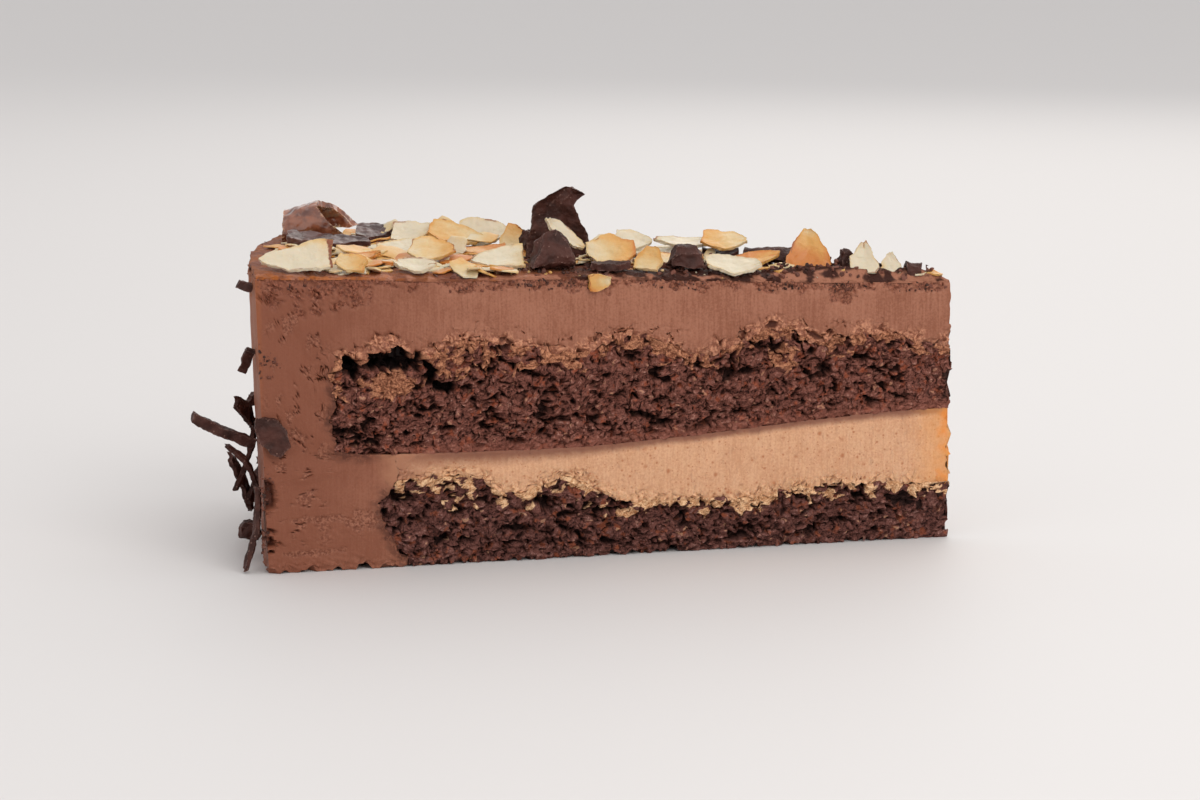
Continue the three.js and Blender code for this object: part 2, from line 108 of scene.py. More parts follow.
def least(first, second):
    return first.math("MINIMUM", first, second)


def vectorMath(operation, first, second):
    return first.node("ShaderNodeVectorMath", {"operation": operation}, {0: first, 1: second})


def plus(first, second):
    return vectorMath("ADD", first, second)


def scaled(vector, factor):
    return vector.node("ShaderNodeVectorMath", {"operation": "SCALE"}, {0: vector, "Scale": factor})


def stretched(vector, factors):
    return vectorMath("MULTIPLY", vector, factors)


def axesOf(vector):
    return [vector.node("ShaderNodeSeparateXYZ", None, {0: vector}, axis) for axis in range(3)]


def joined(bench, x, y, z):
    return bench.node("ShaderNodeCombineXYZ", None, {0: x, 1: y, 2: z})


def noise(spot, size, detail=2.0, rough=0.5, output=0):  # size of a lump, in the units of spot
    sockets = {"Vector": spot, "Scale": 1 / size, "Detail": detail, "Roughness": rough}
    return spot.node("ShaderNodeTexNoise", None, sockets, output)


def patches(spot, size, level, detail=2.0, rough=0.5):  # where a noise is above a level
    return rise(noise(spot, size, detail, rough), *level)


def swirlOf(spot, size, detail, rough=0.5):  # a wandering vector about zero
    return vectorMath("SUBTRACT", noise(spot, size, detail, rough, "Color"), (0.5, 0.5, 0.5))


def cells(spot, size, output=0):
    return spot.node("ShaderNodeTexVoronoi", {"feature": "F1"}, {"Vector": spot, "Scale": 1 / size}, output)


def blend(factor, first, second):  # of two colours
    return factor.node("ShaderNodeMix", {"data_type": "RGBA"}, {0: factor, 6: first, 7: second}, 2)


def paint(red, green, blue):  # a colour as it looks on a screen, 0 to 255, as linear light
    seen = [value / 255 for value in (red, green, blue)]
    return [v / 12.92 if v <= 0.04045 else ((v + 0.055) / 1.055) ** 2.4 for v in seen] + [1]


def tint(tone, factor, colour):
    return blend(factor, tone, paint(*colour))


# Mesh handling

def setMode(mode):
    bpy.ops.object.mode_set(mode=mode)


def selectAll(action):  # of a mesh in edit mode
    bpy.ops.mesh.select_all(action=action)


def polar(radius, angle, height):  # round the cake's axis, from millimetres to metres
    return Vector((cake["axisX"] - radius * math.cos(angle), radius * math.sin(angle), height)) * mm


def onlySelect(piece):
    bpy.ops.object.select_all(action="DESELECT")
    piece.select_set(True)
    bpy.context.view_layer.objects.active = piece


def copyNode(node, name):  # a welded copy of a solid, free of its plain material
    piece = bpy.data.objects.new(name, frame["nodes"][node].data.copy())
    bpy.context.scene.collection.objects.link(piece)
    onlySelect(piece)
    piece.data.materials.clear()
    bpy.ops.mesh.customdata_custom_splitnormals_clear()
    setMode("EDIT")
    selectAll("SELECT")
    bpy.ops.mesh.remove_doubles(threshold=1e-6)
    setMode("OBJECT")
    return piece


def selectFaces(piece, wanted):  # by normal and centre; leaves the piece in edit mode
    onlySelect(piece)
    setMode("EDIT")
    bpy.context.tool_settings.mesh_select_mode = (False, False, True)
    selectAll("DESELECT")
    setMode("OBJECT")
    for face in piece.data.polygons:
        face.select = wanted(face.normal, face.center)
    setMode("EDIT")


def keepAs(piece, group):  # the selected vertices as a vertex group
    piece.vertex_groups.new(name=group)
    bpy.ops.object.vertex_group_assign()


def applyModifiers(piece):
    onlySelect(piece)
    for modifier in list(piece.modifiers):
        bpy.ops.object.modifier_apply(modifier=modifier.name)


def markPoints(piece, name, values):
    values = np.asarray(values, np.float32)
    piece.data.attributes.new(name, "FLOAT", "POINT").data.foreach_set("value", values)


def pointsOf(piece):
    places = np.zeros(len(piece.data.vertices) * 3)
    piece.data.vertices.foreach_get("co", places)
    return places.reshape(-1, 3)


facing = {"cut": 0.72, "wall": 0.9, "wallShare": 0.97, "smooth": 60}  # how straight a face looks out


def finishPiece(piece, material, slot, *nodes):
    piece.data.materials.append(material)
    onlySelect(piece)
    bpy.ops.object.shade_smooth_by_angle(angle=math.radians(facing["smooth"]))
    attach(piece, "root")
    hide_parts(*nodes)


frontNormal = Vector((math.sin(halfCut), -math.cos(halfCut), 0))
backNormal = Vector((math.sin(halfCut), math.cos(halfCut), 0))


def onCut(normal, centre):
    return max(normal.dot(frontNormal), normal.dot(backNormal)) > facing["cut"]


def onWall(normal, centre):
    outward = Vector((centre.x - cake["axisX"] * mm, centre.y, 0))
    far = outward.length > facing["wallShare"] * cake["radius"] * mm
    return far and normal.dot(outward.normalized()) > facing["wall"]


# Relief: each layer gets marks that its material reads, and an offset in millimetres

class Place:  # where a point of the slice's side is, in millimetres, and which way its face looks
    def __init__(self, bench):
        self.bench = bench
        self.spot = scaled(bench.node("GeometryNodeInputPosition"), 1 / mm)
        x, y, self.height = axesOf(self.spot)
        side = bench.math("SIGN", y)  # -1 on the front, 1 on the back
        self.front = fall(side, -0.5, 0.5)
        inward = cake["axisX"] - x
        self.radius = bench.math("SQRT", inward * inward + y * y)
        self.fromRim = cake["radius"] - self.radius
        self.onCut = self.mark("cut")
        self.onWall = self.mark("wall")
        cutOut = joined(bench, math.sin(halfCut), side * math.cos(halfCut), 0.0)
        wallOut = joined(bench, inward / self.radius * -1, y / self.radius, 0.0)
        sockets = {0: self.onCut, 4: wallOut, 5: cutOut}
        self.out = bench.node("ShaderNodeMix", {"data_type": "VECTOR"}, sockets, 1)
        self.along = joined(bench, math.cos(halfCut), side * -math.sin(halfCut), 0.0)
        self.depth = rise(self.radius, *cake["thinPoint"])  # the point is too thin for deep relief

    def mark(self, name):
        return self.bench.node("GeometryNodeInputNamedAttribute", {"data_type": "FLOAT"}, {"Name": name})

    def distanceTo(self, node):
        sockets = {"Object": frame["nodes"][node]}
        solid = self.bench.node("GeometryNodeObjectInfo", None, sockets, "Geometry")
        settings = {"target_element": "FACES"}
        return self.bench.node("GeometryNodeProximity", settings, {0: solid}, "Distance") / mm

    def reach(self, fromRim, height, length, tall, ragged):  # 1 on the edge of a ragged oval
        across = (self.fromRim - fromRim) / (length / 2)
        up = (self.height - height) / (tall / 2)
        wander = (noise(self.spot, borders["oval"], 3) - 0.5) * ragged
        return self.bench.math("SQRT", across * across + up * up) + wander

    def patch(self, *oval):  # 1 inside a ragged oval on the front cut
        return fall(self.reach(*oval), *borders["ovalEdge"]) * self.front


borders = {
    "coarse": 2.3, "coarseReach": 2.4, "fine": 0.9, "fineReach": 1.3, "calmHeight": 22.8, "calm": 0.14,
    "lively": (3.0, 6.5), "foot": (0.2, 4.0), "sideways": 1.3, "notch": 1.8, "notchLevel": (0.46, 0.64),
    "notchFoot": (0.1, 1.6), "notchLift": 1.4, "tip": 2.4, "tipSpan": (1.5, 7.0), "oval": 1.8,
    "ovalEdge": (0.75, 1.05),
}


def driftOf(place, mask):  # the wander of the layers' borders, one for all layers so that they still meet
    level = abs(place.height - borders["calmHeight"])
    lively = borders["calm"] + (1 - borders["calm"]) * rise(level, *borders["lively"])
    sideways = mask * place.onCut
    upright = sideways * rise(place.height, *borders["foot"]) * lively
    coarse = axesOf(noise(place.spot, borders["coarse"], 2, 0.5, "Color"))
    fine = axesOf(noise(place.spot, borders["fine"], 1, 0.5, "Color"))
    shifts = [
        ((coarse[axis] - 0.5) * borders["coarseReach"] + (fine[axis] - 0.5) * borders["fineReach"]) * amount
        for axis, amount in enumerate((sideways * borders["sideways"], upright))
    ]
    return plus(scaled(place.along, shifts[0]), joined(place.bench, 0.0, 0.0, shifts[1]))


def footLift(place):  # notches in the lower edge of a cut
    notch = patches(place.spot, borders["notch"], borders["notchLevel"], 3, 0.6)
    return notch * fall(place.height, *borders["notchFoot"]) * place.onCut * borders["notchLift"]


def shape(piece, build):
    tree = bpy.data.node_groups.new(piece.name + "Relief", "GeometryNodeTree")
    for direction in ("INPUT", "OUTPUT"):
        tree.interface.new_socket("Geometry", in_out=direction, socket_type="NodeSocketGeometry")
    bench = Field(tree)
    mesh = bench.node("NodeGroupInput")
    marks, offset = build(bench)
    for name, value in marks.items():
        sockets = {"Geometry": mesh, "Name": name, "Value": value}
        settings = {"data_type": "FLOAT", "domain": "POINT"}
        mesh = bench.node("GeometryNodeStoreNamedAttribute", settings, sockets)
    position = bench.node("GeometryNodeInputPosition")
    x, y, z = axesOf(plus(position, scaled(offset, mm)))
    sockets = {"Geometry": mesh, "Position": joined(bench, x, y, most(z, 0.0))}
    moved = bench.node("GeometryNodeSetPosition", None, sockets)
    tree.links.new(moved.socket, tree.nodes.new("NodeGroupOutput").inputs[0])
    piece.modifiers.new("relief", "NODES").node_group = tree
    applyModifiers(piece)
    bpy.data.node_groups.remove(tree)


shell = 0.25  # millimetres by which a layer swells to close the clearance that the solids keep


def layerOffset(place, height, mask, tipReach):
    swell = scaled(place.bench.node("GeometryNodeInputNormal"), shell)
    relief = scaled(place.out, height * most(place.onCut, place.onWall))
    ragged = (noise(place.spot, borders["tip"], 3) - 0.5) * fall(place.radius, *borders["tipSpan"])
    tip = scaled(place.along, ragged * tipReach)
    return plus(plus(swell, relief), plus(tip, driftOf(place, mask)))


def makeLayer(node, name, cuts, wanted, build):
    piece = copyNode(node, name)
    selectFaces(piece, wanted)
    bpy.ops.mesh.subdivide(number_cuts=cuts)
    setMode("OBJECT")
    for group, test in (("cut", onCut), ("wall", onWall)):
        selectFaces(piece, lambda normal, centre: wanted(normal, centre) and test(normal, centre))
        keepAs(piece, group)
        setMode("OBJECT")
    shape(piece, build)
    print(name, len(piece.data.vertices), "points")
    return piece


# Materials

class Finish(Field):  # a material's node tree, with the place in millimetres and the shader to feed
    def __init__(self, name):
        material = bpy.data.materials.new(name)
        material.use_nodes = True
        super().__init__(material.node_tree)
        self.material = material
        self.shader = material.node_tree.nodes["Principled BSDF"]
        self.spot = scaled(self.node("ShaderNodeTexCoord", None, None, "Object"), 1 / mm)

    def mark(self, name):
        return self.node("ShaderNodeAttribute", {"attribute_name": name}, None, "Fac")

    def feed(self, **sockets):  # underscores stand for the blanks in the shader's socket names
        for name, value in sockets.items():
            socket = self.shader.inputs[name.replace("_", " ")]
            if isinstance(value, Field):
                self.tree.links.new(value.socket, socket)
            else:
                socket.default_value = value

    def bump(self, height, distance):  # distance in millimetres
        sockets = {"Height": height, "Strength": 1.0, "Distance": distance * mm}
        return self.node("ShaderNodeBump", None, sockets)


# The sponges: grains of crumb, open pores, cream smeared in from the layer above

spongeCrumb = {  # what the two sponges share
    "swirl": 1.1, "swirlReach": 0.5, "grainEdge": (0.05, 0.7), "smallEdge": (0.05, 0.75),
    "poreFoot": (0.6, 2.8),
    "poreStretch": (0.85, 0.85, 1.4), "creamyShare": 0.8, "smearSwirl": 1.8, "smearPatch": 4.0,
    "smearUneven": 1.9,
    "smearLevel": (0.95, 1.0), "smearEdge": (0.02, 0.1), "smearLump": 0.3, "smearLift": 0.1,
    "gap": 2.6, "gapLevel": (0.545, 0.615), "gapReach": (0.5, 2.4), "fine": 0.3, "fineHeight": 0.4,
    "sunk": 0.65,
    "tipReach": 2.4, "mottle": 0.32, "toneShare": 0.26, "raisedLightShare": 0.34, "mottleShare": 1.1, "darker": 0.36,
    "middleLevel": (0.16, 0.48), "lightLevel": (0.48, 0.92), "redPatch": 1.7, "redLevel": (0.56, 0.68),
    "redShare": 0.55, "tanLevel": (0.95, 0.97), "tanShare": 0.55, "dampShare": 0.6, "recessShadeLevel": (0.05, 1.0),
    "gapClosed": 0.8, "dampPore": 0.9, "dampHole": 0.7, "smearCover": 0.9, "poreShade": 0.8, "holeShade": 0.6,
    "gapShade": 0.7, "smearMask": (0.3, 0.7), "creamLevel": (0.36, 0.72), "micro": 0.22, "microDepth": 0.35,
}
upperSponge = {
    **spongeCrumb, "node": "upper_sponge", "cream": "chocolate_mousse", "damp": "caramel_cream", "cuts": 16,
    "clump": 2.6, "clumpHeight": 1.3, "grain": 1.1, "grainHeight": 0.5, "small": 0.5, "smallHeight": 0.42,
    "pore": 3.2, "poreLevel": (0.54, 0.625), "poreDepth": 2.0,
    "hole": 0.9, "holeLevel": (0.56, 0.66), "holeDepth": 0.9,
    "smear": 1.6, "smearShare": 0.7, "smearReach": (0.2, 4.6), "smearFrom": (29, 33), "gapDepth": 1.8,
    "creamy": ((36, 37, 9, 6, 1.8), (46.5, 36.6, 11, 3.6, 1.8), (98, 36, 9, 7, 1.8)),  # ovals
    "hollowDepth": 3.4,
    "hollows": (
        (24.4, 38, 12, 4, 1.8), (16.8, 37.4, 5, 4, 2.2), (31.6, 35.4, 3, 4, 2.6), (34.4, 33, 4.4, 3, 2.6),
    ),
    "blob": (24.8, 33.8, 11, 5, 2.0), "dampReach": (0.3, 3.0),
    "dark": (46, 17, 11), "middle": (130, 79, 67), "light": (204, 154, 138), "red": (174, 88, 56),
    "tan": (206, 152, 118), "deep": (20, 5, 3), "creamDark": (124, 73, 54), "creamLight": (212, 148, 112),
    "dampTone": (150, 92, 76),
}
lowerSponge = {
    **spongeCrumb, "node": "lower_sponge", "cream": "caramel_cream", "damp": None, "cuts": 15,
    "clump": 3.0, "clumpHeight": 1.5, "grain": 1.2, "grainHeight": 0.55, "small": 0.55, "smallHeight": 0.45,
    "pore": 3.6, "poreLevel": (0.535, 0.62), "poreDepth": 2.1,
    "hole": 1.0, "holeLevel": (0.555, 0.655), "holeDepth": 0.9,
    "smear": 1.4, "smearShare": 0.55, "smearReach": (0.2, 4.4), "smearFrom": (3, 6), "gapDepth": 1.8,
    "creamy": ((37, 11.5, 9, 3.4, 1.8),), "hollows": (), "hollowDepth": 0, "blob": None, "dampReach": None,
    "dark": (42, 17, 13), "middle": (112, 69, 61), "light": (182, 138, 128), "red": (158, 82, 50),
    "tan": (206, 156, 120), "deep": (19, 5, 4), "creamDark": (190, 134, 92), "creamLight": (255, 214, 170),
    "dampTone": (92, 50, 42),
}


def spongeRelief(look):
    def build(bench):
        place = Place(bench)
        swirl = swirlOf(place.spot, look["swirl"], 3, 0.6)
        crumbSpot = plus(place.spot, scaled(swirl, look["swirlReach"]))
        clump = noise(place.spot, look["clump"], 2) - 0.5
        lump = fall(cells(crumbSpot, look["grain"]), *look["grainEdge"])
        bead = fall(cells(crumbSpot, look["small"]), *look["smallEdge"])
        tone = axesOf(cells(crumbSpot, look["small"], "Color"))[0]
        wide = stretched(crumbSpot, look["poreStretch"])  # pores are wider than they are tall
        toCream = place.distanceTo(look["cream"])
        pore = patches(wide, look["pore"], look["poreLevel"], 4, 0.6) * rise(place.height, *look["poreFoot"])
        hole = patches(crumbSpot, look["hole"], look["holeLevel"])
        near = fall(toCream, *look["smearReach"])
        for oval in look["creamy"]:
            near = most(near, place.patch(*oval) * look["creamyShare"])
        lot = axesOf(cells(plus(place.spot, scaled(swirl, look["smearSwirl"])), look["smear"], "Color"))[1]
        uneven = (noise(place.spot, look["smearPatch"], 2) - 0.5) * look["smearUneven"] * near
        smear = rise(lot + (near * near * look["smearShare"] + uneven), *look["smearLevel"])
        smear = smear * rise(place.height, *look["smearFrom"]) * rise(near, *look["smearEdge"])
        gap = patches(wide, look["gap"], look["gapLevel"], 3) * fall(toCream, *look["gapReach"])
        gap = gap * (1 - smear * look["gapClosed"])
        damp, hollow = 0, 0
        if look["damp"]:
            damp = fall(place.distanceTo(look["damp"]), *look["dampReach"])
            pore = pore * (1 - damp * look["dampPore"])
            hole = hole * (1 - damp * look["dampHole"])
        for oval in look["hollows"]:
            hollow = most(place.patch(*oval), hollow)
        if look["blob"]:
            blob = place.patch(*look["blob"])
            hollow = hollow * (1 - blob)
            smear = most(smear * (1 - hollow), blob)
            gap = gap * (1 - blob)
        bare = 1 - smear * look["smearCover"]
        # painted shade: the pores, holes, gaps and hollows are darkened in colour as well as sunk
        deep = most(pore * look["poreShade"], hole * look["holeShade"]) * bare
        deep = most(deep, most(gap * look["gapShade"], hollow))
        height = lump * look["grainHeight"] + bead * look["smallHeight"]
        height = height + smear * (bead * look["smearLump"] + look["smearLift"])
        height = height + noise(place.spot, look["fine"], 2) * look["fineHeight"]
        height = height + clump * look["clumpHeight"] * place.depth
        height = height - place.depth * (pore * look["poreDepth"] + hole * look["holeDepth"]) * bare
        height = height - place.depth * most(gap * look["gapDepth"], hollow * look["hollowDepth"])
        marks = {"deep": deep, "lump": lump * 0.45 + bead * 0.55, "tone": tone, "smear": smear, "damp": damp}
        lift = joined(bench, 0.0, 0.0, footLift(place))
        return marks, plus(layerOffset(place, height - look["sunk"], 1, look["tipReach"]), lift)
    return build


def spongeFinish(look):
    finish = Finish(look["node"] + "Crumb")
    tone, lump = finish.mark("tone"), finish.mark("lump")
    mottle = noise(finish.spot, look["mottle"], 3, 0.7)
    # painted shade and highlight: the crumb is lighter on its raised grains and darker between them
    value = tone * look["toneShare"] + lump * look["raisedLightShare"]
    value = value + mottle * look["mottleShare"] - look["darker"]
    crumb = tint(paint(*look["dark"]), rise(value, *look["middleLevel"]), look["middle"])
    crumb = tint(crumb, rise(value, *look["lightLevel"]), look["light"])
    redder = patches(finish.spot, look["redPatch"], look["redLevel"], 3)
    crumb = tint(crumb, redder * look["redShare"], look["red"])
    crumb = tint(crumb, rise(tone, *look["tanLevel"]) * look["tanShare"], look["tan"])
    crumb = tint(crumb, finish.mark("damp") * look["dampShare"], look["dampTone"])
    # painted shade in the pores, holes, gaps and hollows
    crumb = tint(crumb, rise(finish.mark("deep"), *look["recessShadeLevel"]), look["deep"])
    # painted highlight: the smeared cream is paler, partly where its lumps stand out
    paler = rise(lump * 0.3 + mottle * 0.9, *look["creamLevel"])
    cream = tint(paint(*look["creamDark"]), paler, look["creamLight"])
    finish.feed(
        Base_Color=blend(rise(finish.mark("smear"), *look["smearMask"]), crumb, cream),
        Roughness=0.6 + 0.3 * mottle,
        Normal=finish.bump(noise(finish.spot, look["micro"], 3, 0.7), look["microDepth"]),
        Specular_IOR_Level=0.2,
    )
    return finish.material


# The caramel cream: smooth, torn where it meets the lower sponge

caramel = {
    "cuts": 15, "rough": 3, "roughReach": 4, "roughEdge": (0.3, 2.6), "lump": 0.9, "lumpEdge": (0.05, 0.7),
    "lumpHeight": 0.7, "border": 1.4, "borderHeight": 0.9, "crack": 2.4, "crackStretch": (1, 1, 1.8),
    "crackWidth": (0.0, 0.02), "crackDepth": 0.5, "drag": (1.6, 1.6, 0.1), "dragHeight": 0.06,
    "tipReach": 0.25,
    "cloud": 6, "streak": (2.2, 2.2, 0.2), "grain": 0.4, "toneLevel": (0.38, 0.62), "tornLevel": (0.4, 0.6),
    "stainRagged": 0.6, "mixedRagged": 3, "pointRagged": 2,
    "tornShare": 0.6, "specks": ((2.2, 0.7), (1.2, 0.56), (0.7, 0.52)), "speckEdge": (0.06, 0.3),
    "speckShare": 0.7,
    "ragged": 1.8, "raggedReach": 1.4, "stainFrom": 0.4, "stainReach": (1.8, 1.6), "stainSpan": (55, 90),
    "stainShare": 0.9, "mixedReach": (0.0, 10.0), "crackShare": 0.7, "tipLightReach": (1.0, 10.0),
    "tipLightShare": 0.5,
    "glowReach": (0.5, 4.0), "glowPatch": 3.0, "glowLevel": (0.4, 0.62), "glowShare": 0.75,
    "tone": (210, 164, 129), "shade": (193, 143, 108), "speck": (162, 94, 54), "mixed": (160, 110, 84),
    "torn": (222, 178, 136), "stain": (116, 68, 52), "point": (220, 152, 82), "glow": (220, 128, 36),
}


def caramelRelief(bench):
    place = Place(bench)
    toLower = place.distanceTo("lower_sponge")
    ragged = (noise(place.spot, caramel["rough"], 2) - 0.5) * caramel["roughReach"]
    rough = fall(toLower + ragged, *caramel["roughEdge"])
    lump = fall(cells(place.spot, caramel["lump"]), *caramel["lumpEdge"])
    wander = noise(stretched(place.spot, caramel["crackStretch"]), caramel["crack"], 3)
    crack = fall(abs(wander - 0.5), *caramel["crackWidth"]) * rough
    drag = noise(stretched(place.spot, caramel["drag"]), 1.0, 2) - 0.5
    height = rough * (noise(place.spot, caramel["border"], 3) - 0.5) * caramel["borderHeight"]
    height = height + rough * (lump - 0.5) * caramel["lumpHeight"]
    height = height + drag * caramel["dragHeight"] - crack * caramel["crackDepth"] * place.depth
    marks = {
        "toUpper": place.distanceTo("upper_sponge"), "toMousse": place.distanceTo("chocolate_mousse"),
        "radius": place.radius, "torn": rough, "crack": crack,
    }
    return marks, layerOffset(place, height, 1, caramel["tipReach"])


def caramelFinish():
    finish = Finish("caramelCream")
    cloud = noise(finish.spot, caramel["cloud"], 3)
    streak = noise(stretched(finish.spot, caramel["streak"]), 1.0, 3)
    grain = noise(finish.spot, caramel["grain"], 3, 0.65)
    radius = finish.mark("radius")
    value = cloud * 0.2 + streak * 0.3 + grain * 0.5
    tone = tint(paint(*caramel["shade"]), rise(value, *caramel["toneLevel"]), caramel["tone"])
    torn = finish.mark("torn") * rise(grain, *caramel["tornLevel"]) * caramel["tornShare"]
    tone = tint(tone, torn, caramel["torn"])
    for size, share in caramel["specks"]:
        chosen = rise(axesOf(cells(finish.spot, size, "Color"))[0], share, share + 0.05)
        speck = fall(cells(finish.spot, size), *caramel["speckEdge"]) * chosen * caramel["speckShare"]
        tone = tint(tone, speck, caramel["speck"])
    ragged = (noise(finish.spot, caramel["ragged"], 3) - 0.5) * caramel["raggedReach"]
    short, more = caramel["stainReach"]
    stainReach = short + more * rise(radius, *caramel["stainSpan"])  # it soaks in further towards the rim
    stain = fall(finish.mark("toUpper") + ragged * caramel["stainRagged"], caramel["stainFrom"], stainReach)
    tone = tint(tone, stain * caramel["stainShare"], caramel["stain"])
    toMousse = finish.mark("toMousse") + ragged * caramel["mixedRagged"]
    tone = tint(tone, fall(toMousse, *caramel["mixedReach"]), caramel["mixed"])
    # painted shade in the cracks, in the stain's colour
    tone = tint(tone, finish.mark("crack") * caramel["crackShare"], caramel["stain"])
    # painted light: orange towards the point and a yellow glow at its tip, light shining through the thin
    # caramel
    toPoint = radius + ragged * caramel["pointRagged"]
    tone = tint(tone, fall(toPoint, *caramel["tipLightReach"]) * caramel["tipLightShare"], caramel["point"])
    uneven = 0.25 + 0.75 * patches(finish.spot, caramel["glowPatch"], caramel["glowLevel"])
    glow = fall(toPoint, *caramel["glowReach"]) * uneven * caramel["glowShare"]
    finish.feed(
        Base_Color=tint(tone, glow, caramel["glow"]),
        Roughness=0.5 + 0.15 * streak,
        Normal=finish.bump(streak * 0.25 + grain * 0.4, 0.12),
        Subsurface_Weight=0.2,
        Subsurface_Radius=(1.0, 0.55, 0.3),
        Subsurface_Scale=0.0012,
        Specular_IOR_Level=0.3,
    )
    return finish.material


# The mousse: smooth where the knife went, torn above the sponge, crumbs along its top edge

mousse = {
    "cuts": 13, "overSponge": (30, 36), "spongeFrom": (12, 16), "swirl": 1.3, "swirlReach": 0.8,
    "tipReach": 1.2,
    "tornPatch": 4.2, "tornRagged": 8, "tornReach": (0.4, 3.2), "tornWave": 1.9, "tornHeight": 1.1,
    "lump": 0.7, "lumpEdge": (0.08, 0.72), "lumpHeight": 0.8, "chink": 1.9, "chinkLevel": (0.5, 0.66),
    "chinkPatch": 3.0, "chinkShare": (0.5, 0.6), "crackSize": 4.4, "crackStretch": (0.8, 0.8, 1.8),
    "crackWidth": (0.0, 0.016), "crackReach": (1.5, 4.5), "crackPatch": 6, "crackShare": (0.44, 0.56),
    "crackDepth": 0.9, "dome": (23.4, 40, 8.6, 7, 0.8), "domeFrom": (39.5, 41), "domeLine": (0.0, 0.14),
    "domeTorn": (0.85, 1.15),
    "domePatch": 1.2, "domeShare": (0.42, 0.6), "markMiddle": 7, "markSpan": (3, 8), "markFoot": (3, 7),
    "mark": 3.0, "markStretch": (1, 1, 0.8), "markLevel": 0.57, "markEdge": 0.02, "tearWidth": (0.0, 0.014),
    "tearPatch": 1.4, "tearShare": (0.4, 0.52), "tearDepth": 0.5,
    "ridges": ((2.4, 0.4, 1.4), (6.8, 0.6, 1.8)), "ridgeSpan": (15, 24), "ridgeStretch": (1.8, 1.8, 0.25),
    "ridgeHeight": 0.7, "pit": 2.2, "pitLot": (0.9, 0.92), "pitEdge": (0.08, 0.24), "pitDepth": 0.6,
    "busy": 11, "busyLevel": (0.52, 0.64), "busyFrom": (40, 43), "smudgeSize": 1.6, "smudgeRagged": 4,
    "smudgeReach": (0.1, 2.2),
    "smudgeBelow": (34, 40), "crumbPatch": 3.2, "crumbReach": 8.4, "crumbEdge": (0.2, 1.6), "crumbSize": 0.8,
    "crumbHeight": 0.9, "cornerCrumbs": (12, 50, 24, 6, 2.2), "chip": (110, 47.4, 5.4, 3.4, 2.6),
    "dents": ((1.2, 14.6, 3.4, 8, 1.6), (1.0, 6.2, 4.4, 5, 1.6)), "dentPatch": 1.4, "dentShare": (0.38, 0.52),
    "dentDepth": 2.0, "scrapes": ((19, 9.2, 8, 4, 1.8), (12, 9.7, 17, 1.4, 2.6), (9, 3.6, 12, 1.4, 2.6)),
    "scrapeGrain": 0.6, "foot": (0.4, 2.8), "footSize": 1.5, "footHeight": 1.8, "wallWave": 5,
    "wallHeight": 0.9,
    "wallStretch": (1, 1, 0.4), "streak": (2.6, 2.6, 0.14), "cloud": 9, "grain": 0.42, "rimSpan": (2, 52),
    "toneLevel": (0.38, 0.62), "rimCloud": 24, "rimSideShadeShare": 0.85, "tornTone": (0.5, 0.95),
    "tornEdge": (0.15, 0.8),
    "tornShare": 0.8, "crumbTone": (0.4, 0.62), "crumbLevel": (0.2, 0.9), "crumbGap": 0.8,
    "crumbGapLevel": (0.34, 0.6),
    "crumbShare": 0.85, "footTone": (0.45, 0.6), "footShare": 0.5, "scrapeTone": (0.42, 0.6),
    "scrapeShare": 0.5, "mixedCloud": 4, "mixedReach": (0.0, 5.0), "mixedShare": 0.95, "smudgeGrain": 1.1,
    "smudgeLevel": (0.55, 0.85),
    "smudgeShare": 0.8, "rimLightReach": (0.2, 1.2), "rimLightShare": 0.5, "crackLevel": (0.25, 0.9),
    "crackShade": 0.85, "recessShadeLevel": (0.1, 0.7), "innerReach": (2, 7), "footNotch": 1.3,
    "tone": (158, 106, 84), "shade": (134, 83, 62), "rimSideShade": (121, 70, 51), "pale": (206, 146, 114),
    "torn": (124, 73, 55), "smudge": (70, 36, 26), "crack": (78, 38, 27), "crumbDark": (94, 50, 37),
    "crumbLight": (150, 94, 73), "rim": (150, 88, 54),
}


def patchedBy(place, ovals):  # the ragged ovals together
    covered = place.patch(*ovals[0])
    for oval in ovals[1:]:
        covered = most(covered, place.patch(*oval))
    return covered


def mousseTears(place, tornSpot, torn, toUpper, above):  # cracks and chinks over the sponge
    chink = rise(cells(tornSpot, mousse["chink"]), *mousse["chinkLevel"]) * torn
    chink = chink * patches(place.spot, mousse["chinkPatch"], mousse["chinkShare"])
    wander = noise(stretched(tornSpot, mousse["crackStretch"]), mousse["crackSize"], 3)
    crack = fall(abs(wander - 0.5), *mousse["crackWidth"]) * fall(toUpper, *mousse["crackReach"])
    crack = crack * above * place.onCut * patches(place.spot, mousse["crackPatch"], mousse["crackShare"], 1)
    return crack, chink


def knifeMarks(place):  # by the rim: peeled patches, and the torn lines round them
    band = fall(abs(place.fromRim - mousse["markMiddle"]), *mousse["markSpan"])
    band = band * rise(place.height, *mousse["markFoot"]) * place.onCut
    field = noise(stretched(place.spot, mousse["markStretch"]), mousse["mark"], 3, 0.6)
    peeled = rise(field, mousse["markLevel"], mousse["markLevel"] + mousse["markEdge"]) * band
    tear = fall(abs(field - mousse["markLevel"]), *mousse["tearWidth"]) * band
    return peeled, tear * patches(place.spot, mousse["tearPatch"], mousse["tearShare"])


def knifeRidges(place):
    lines = [fall(abs(place.height - level), thin, wide) for level, thin, wide in mousse["ridges"]]
    ridge = most(*lines) * fall(place.fromRim, *mousse["ridgeSpan"])
    return ridge * place.onCut * (noise(stretched(place.spot, mousse["ridgeStretch"]), 1.0, 2) - 0.5)


def edgeCrumbs(place):  # under the upper edge of the cut
    ragged = noise(place.spot, mousse["crumbPatch"], 3, 0.6)
    toTop = place.distanceTo("almond_glaze")
    crumb = fall(toTop - (ragged - 0.42) * mousse["crumbReach"], *mousse["crumbEdge"])
    crumb = most(crumb, place.patch(*mousse["cornerCrumbs"]) * rise(ragged, 0.42, 0.55))
    return most(crumb, place.patch(*mousse["chip"])) * most(place.onCut, place.onWall)


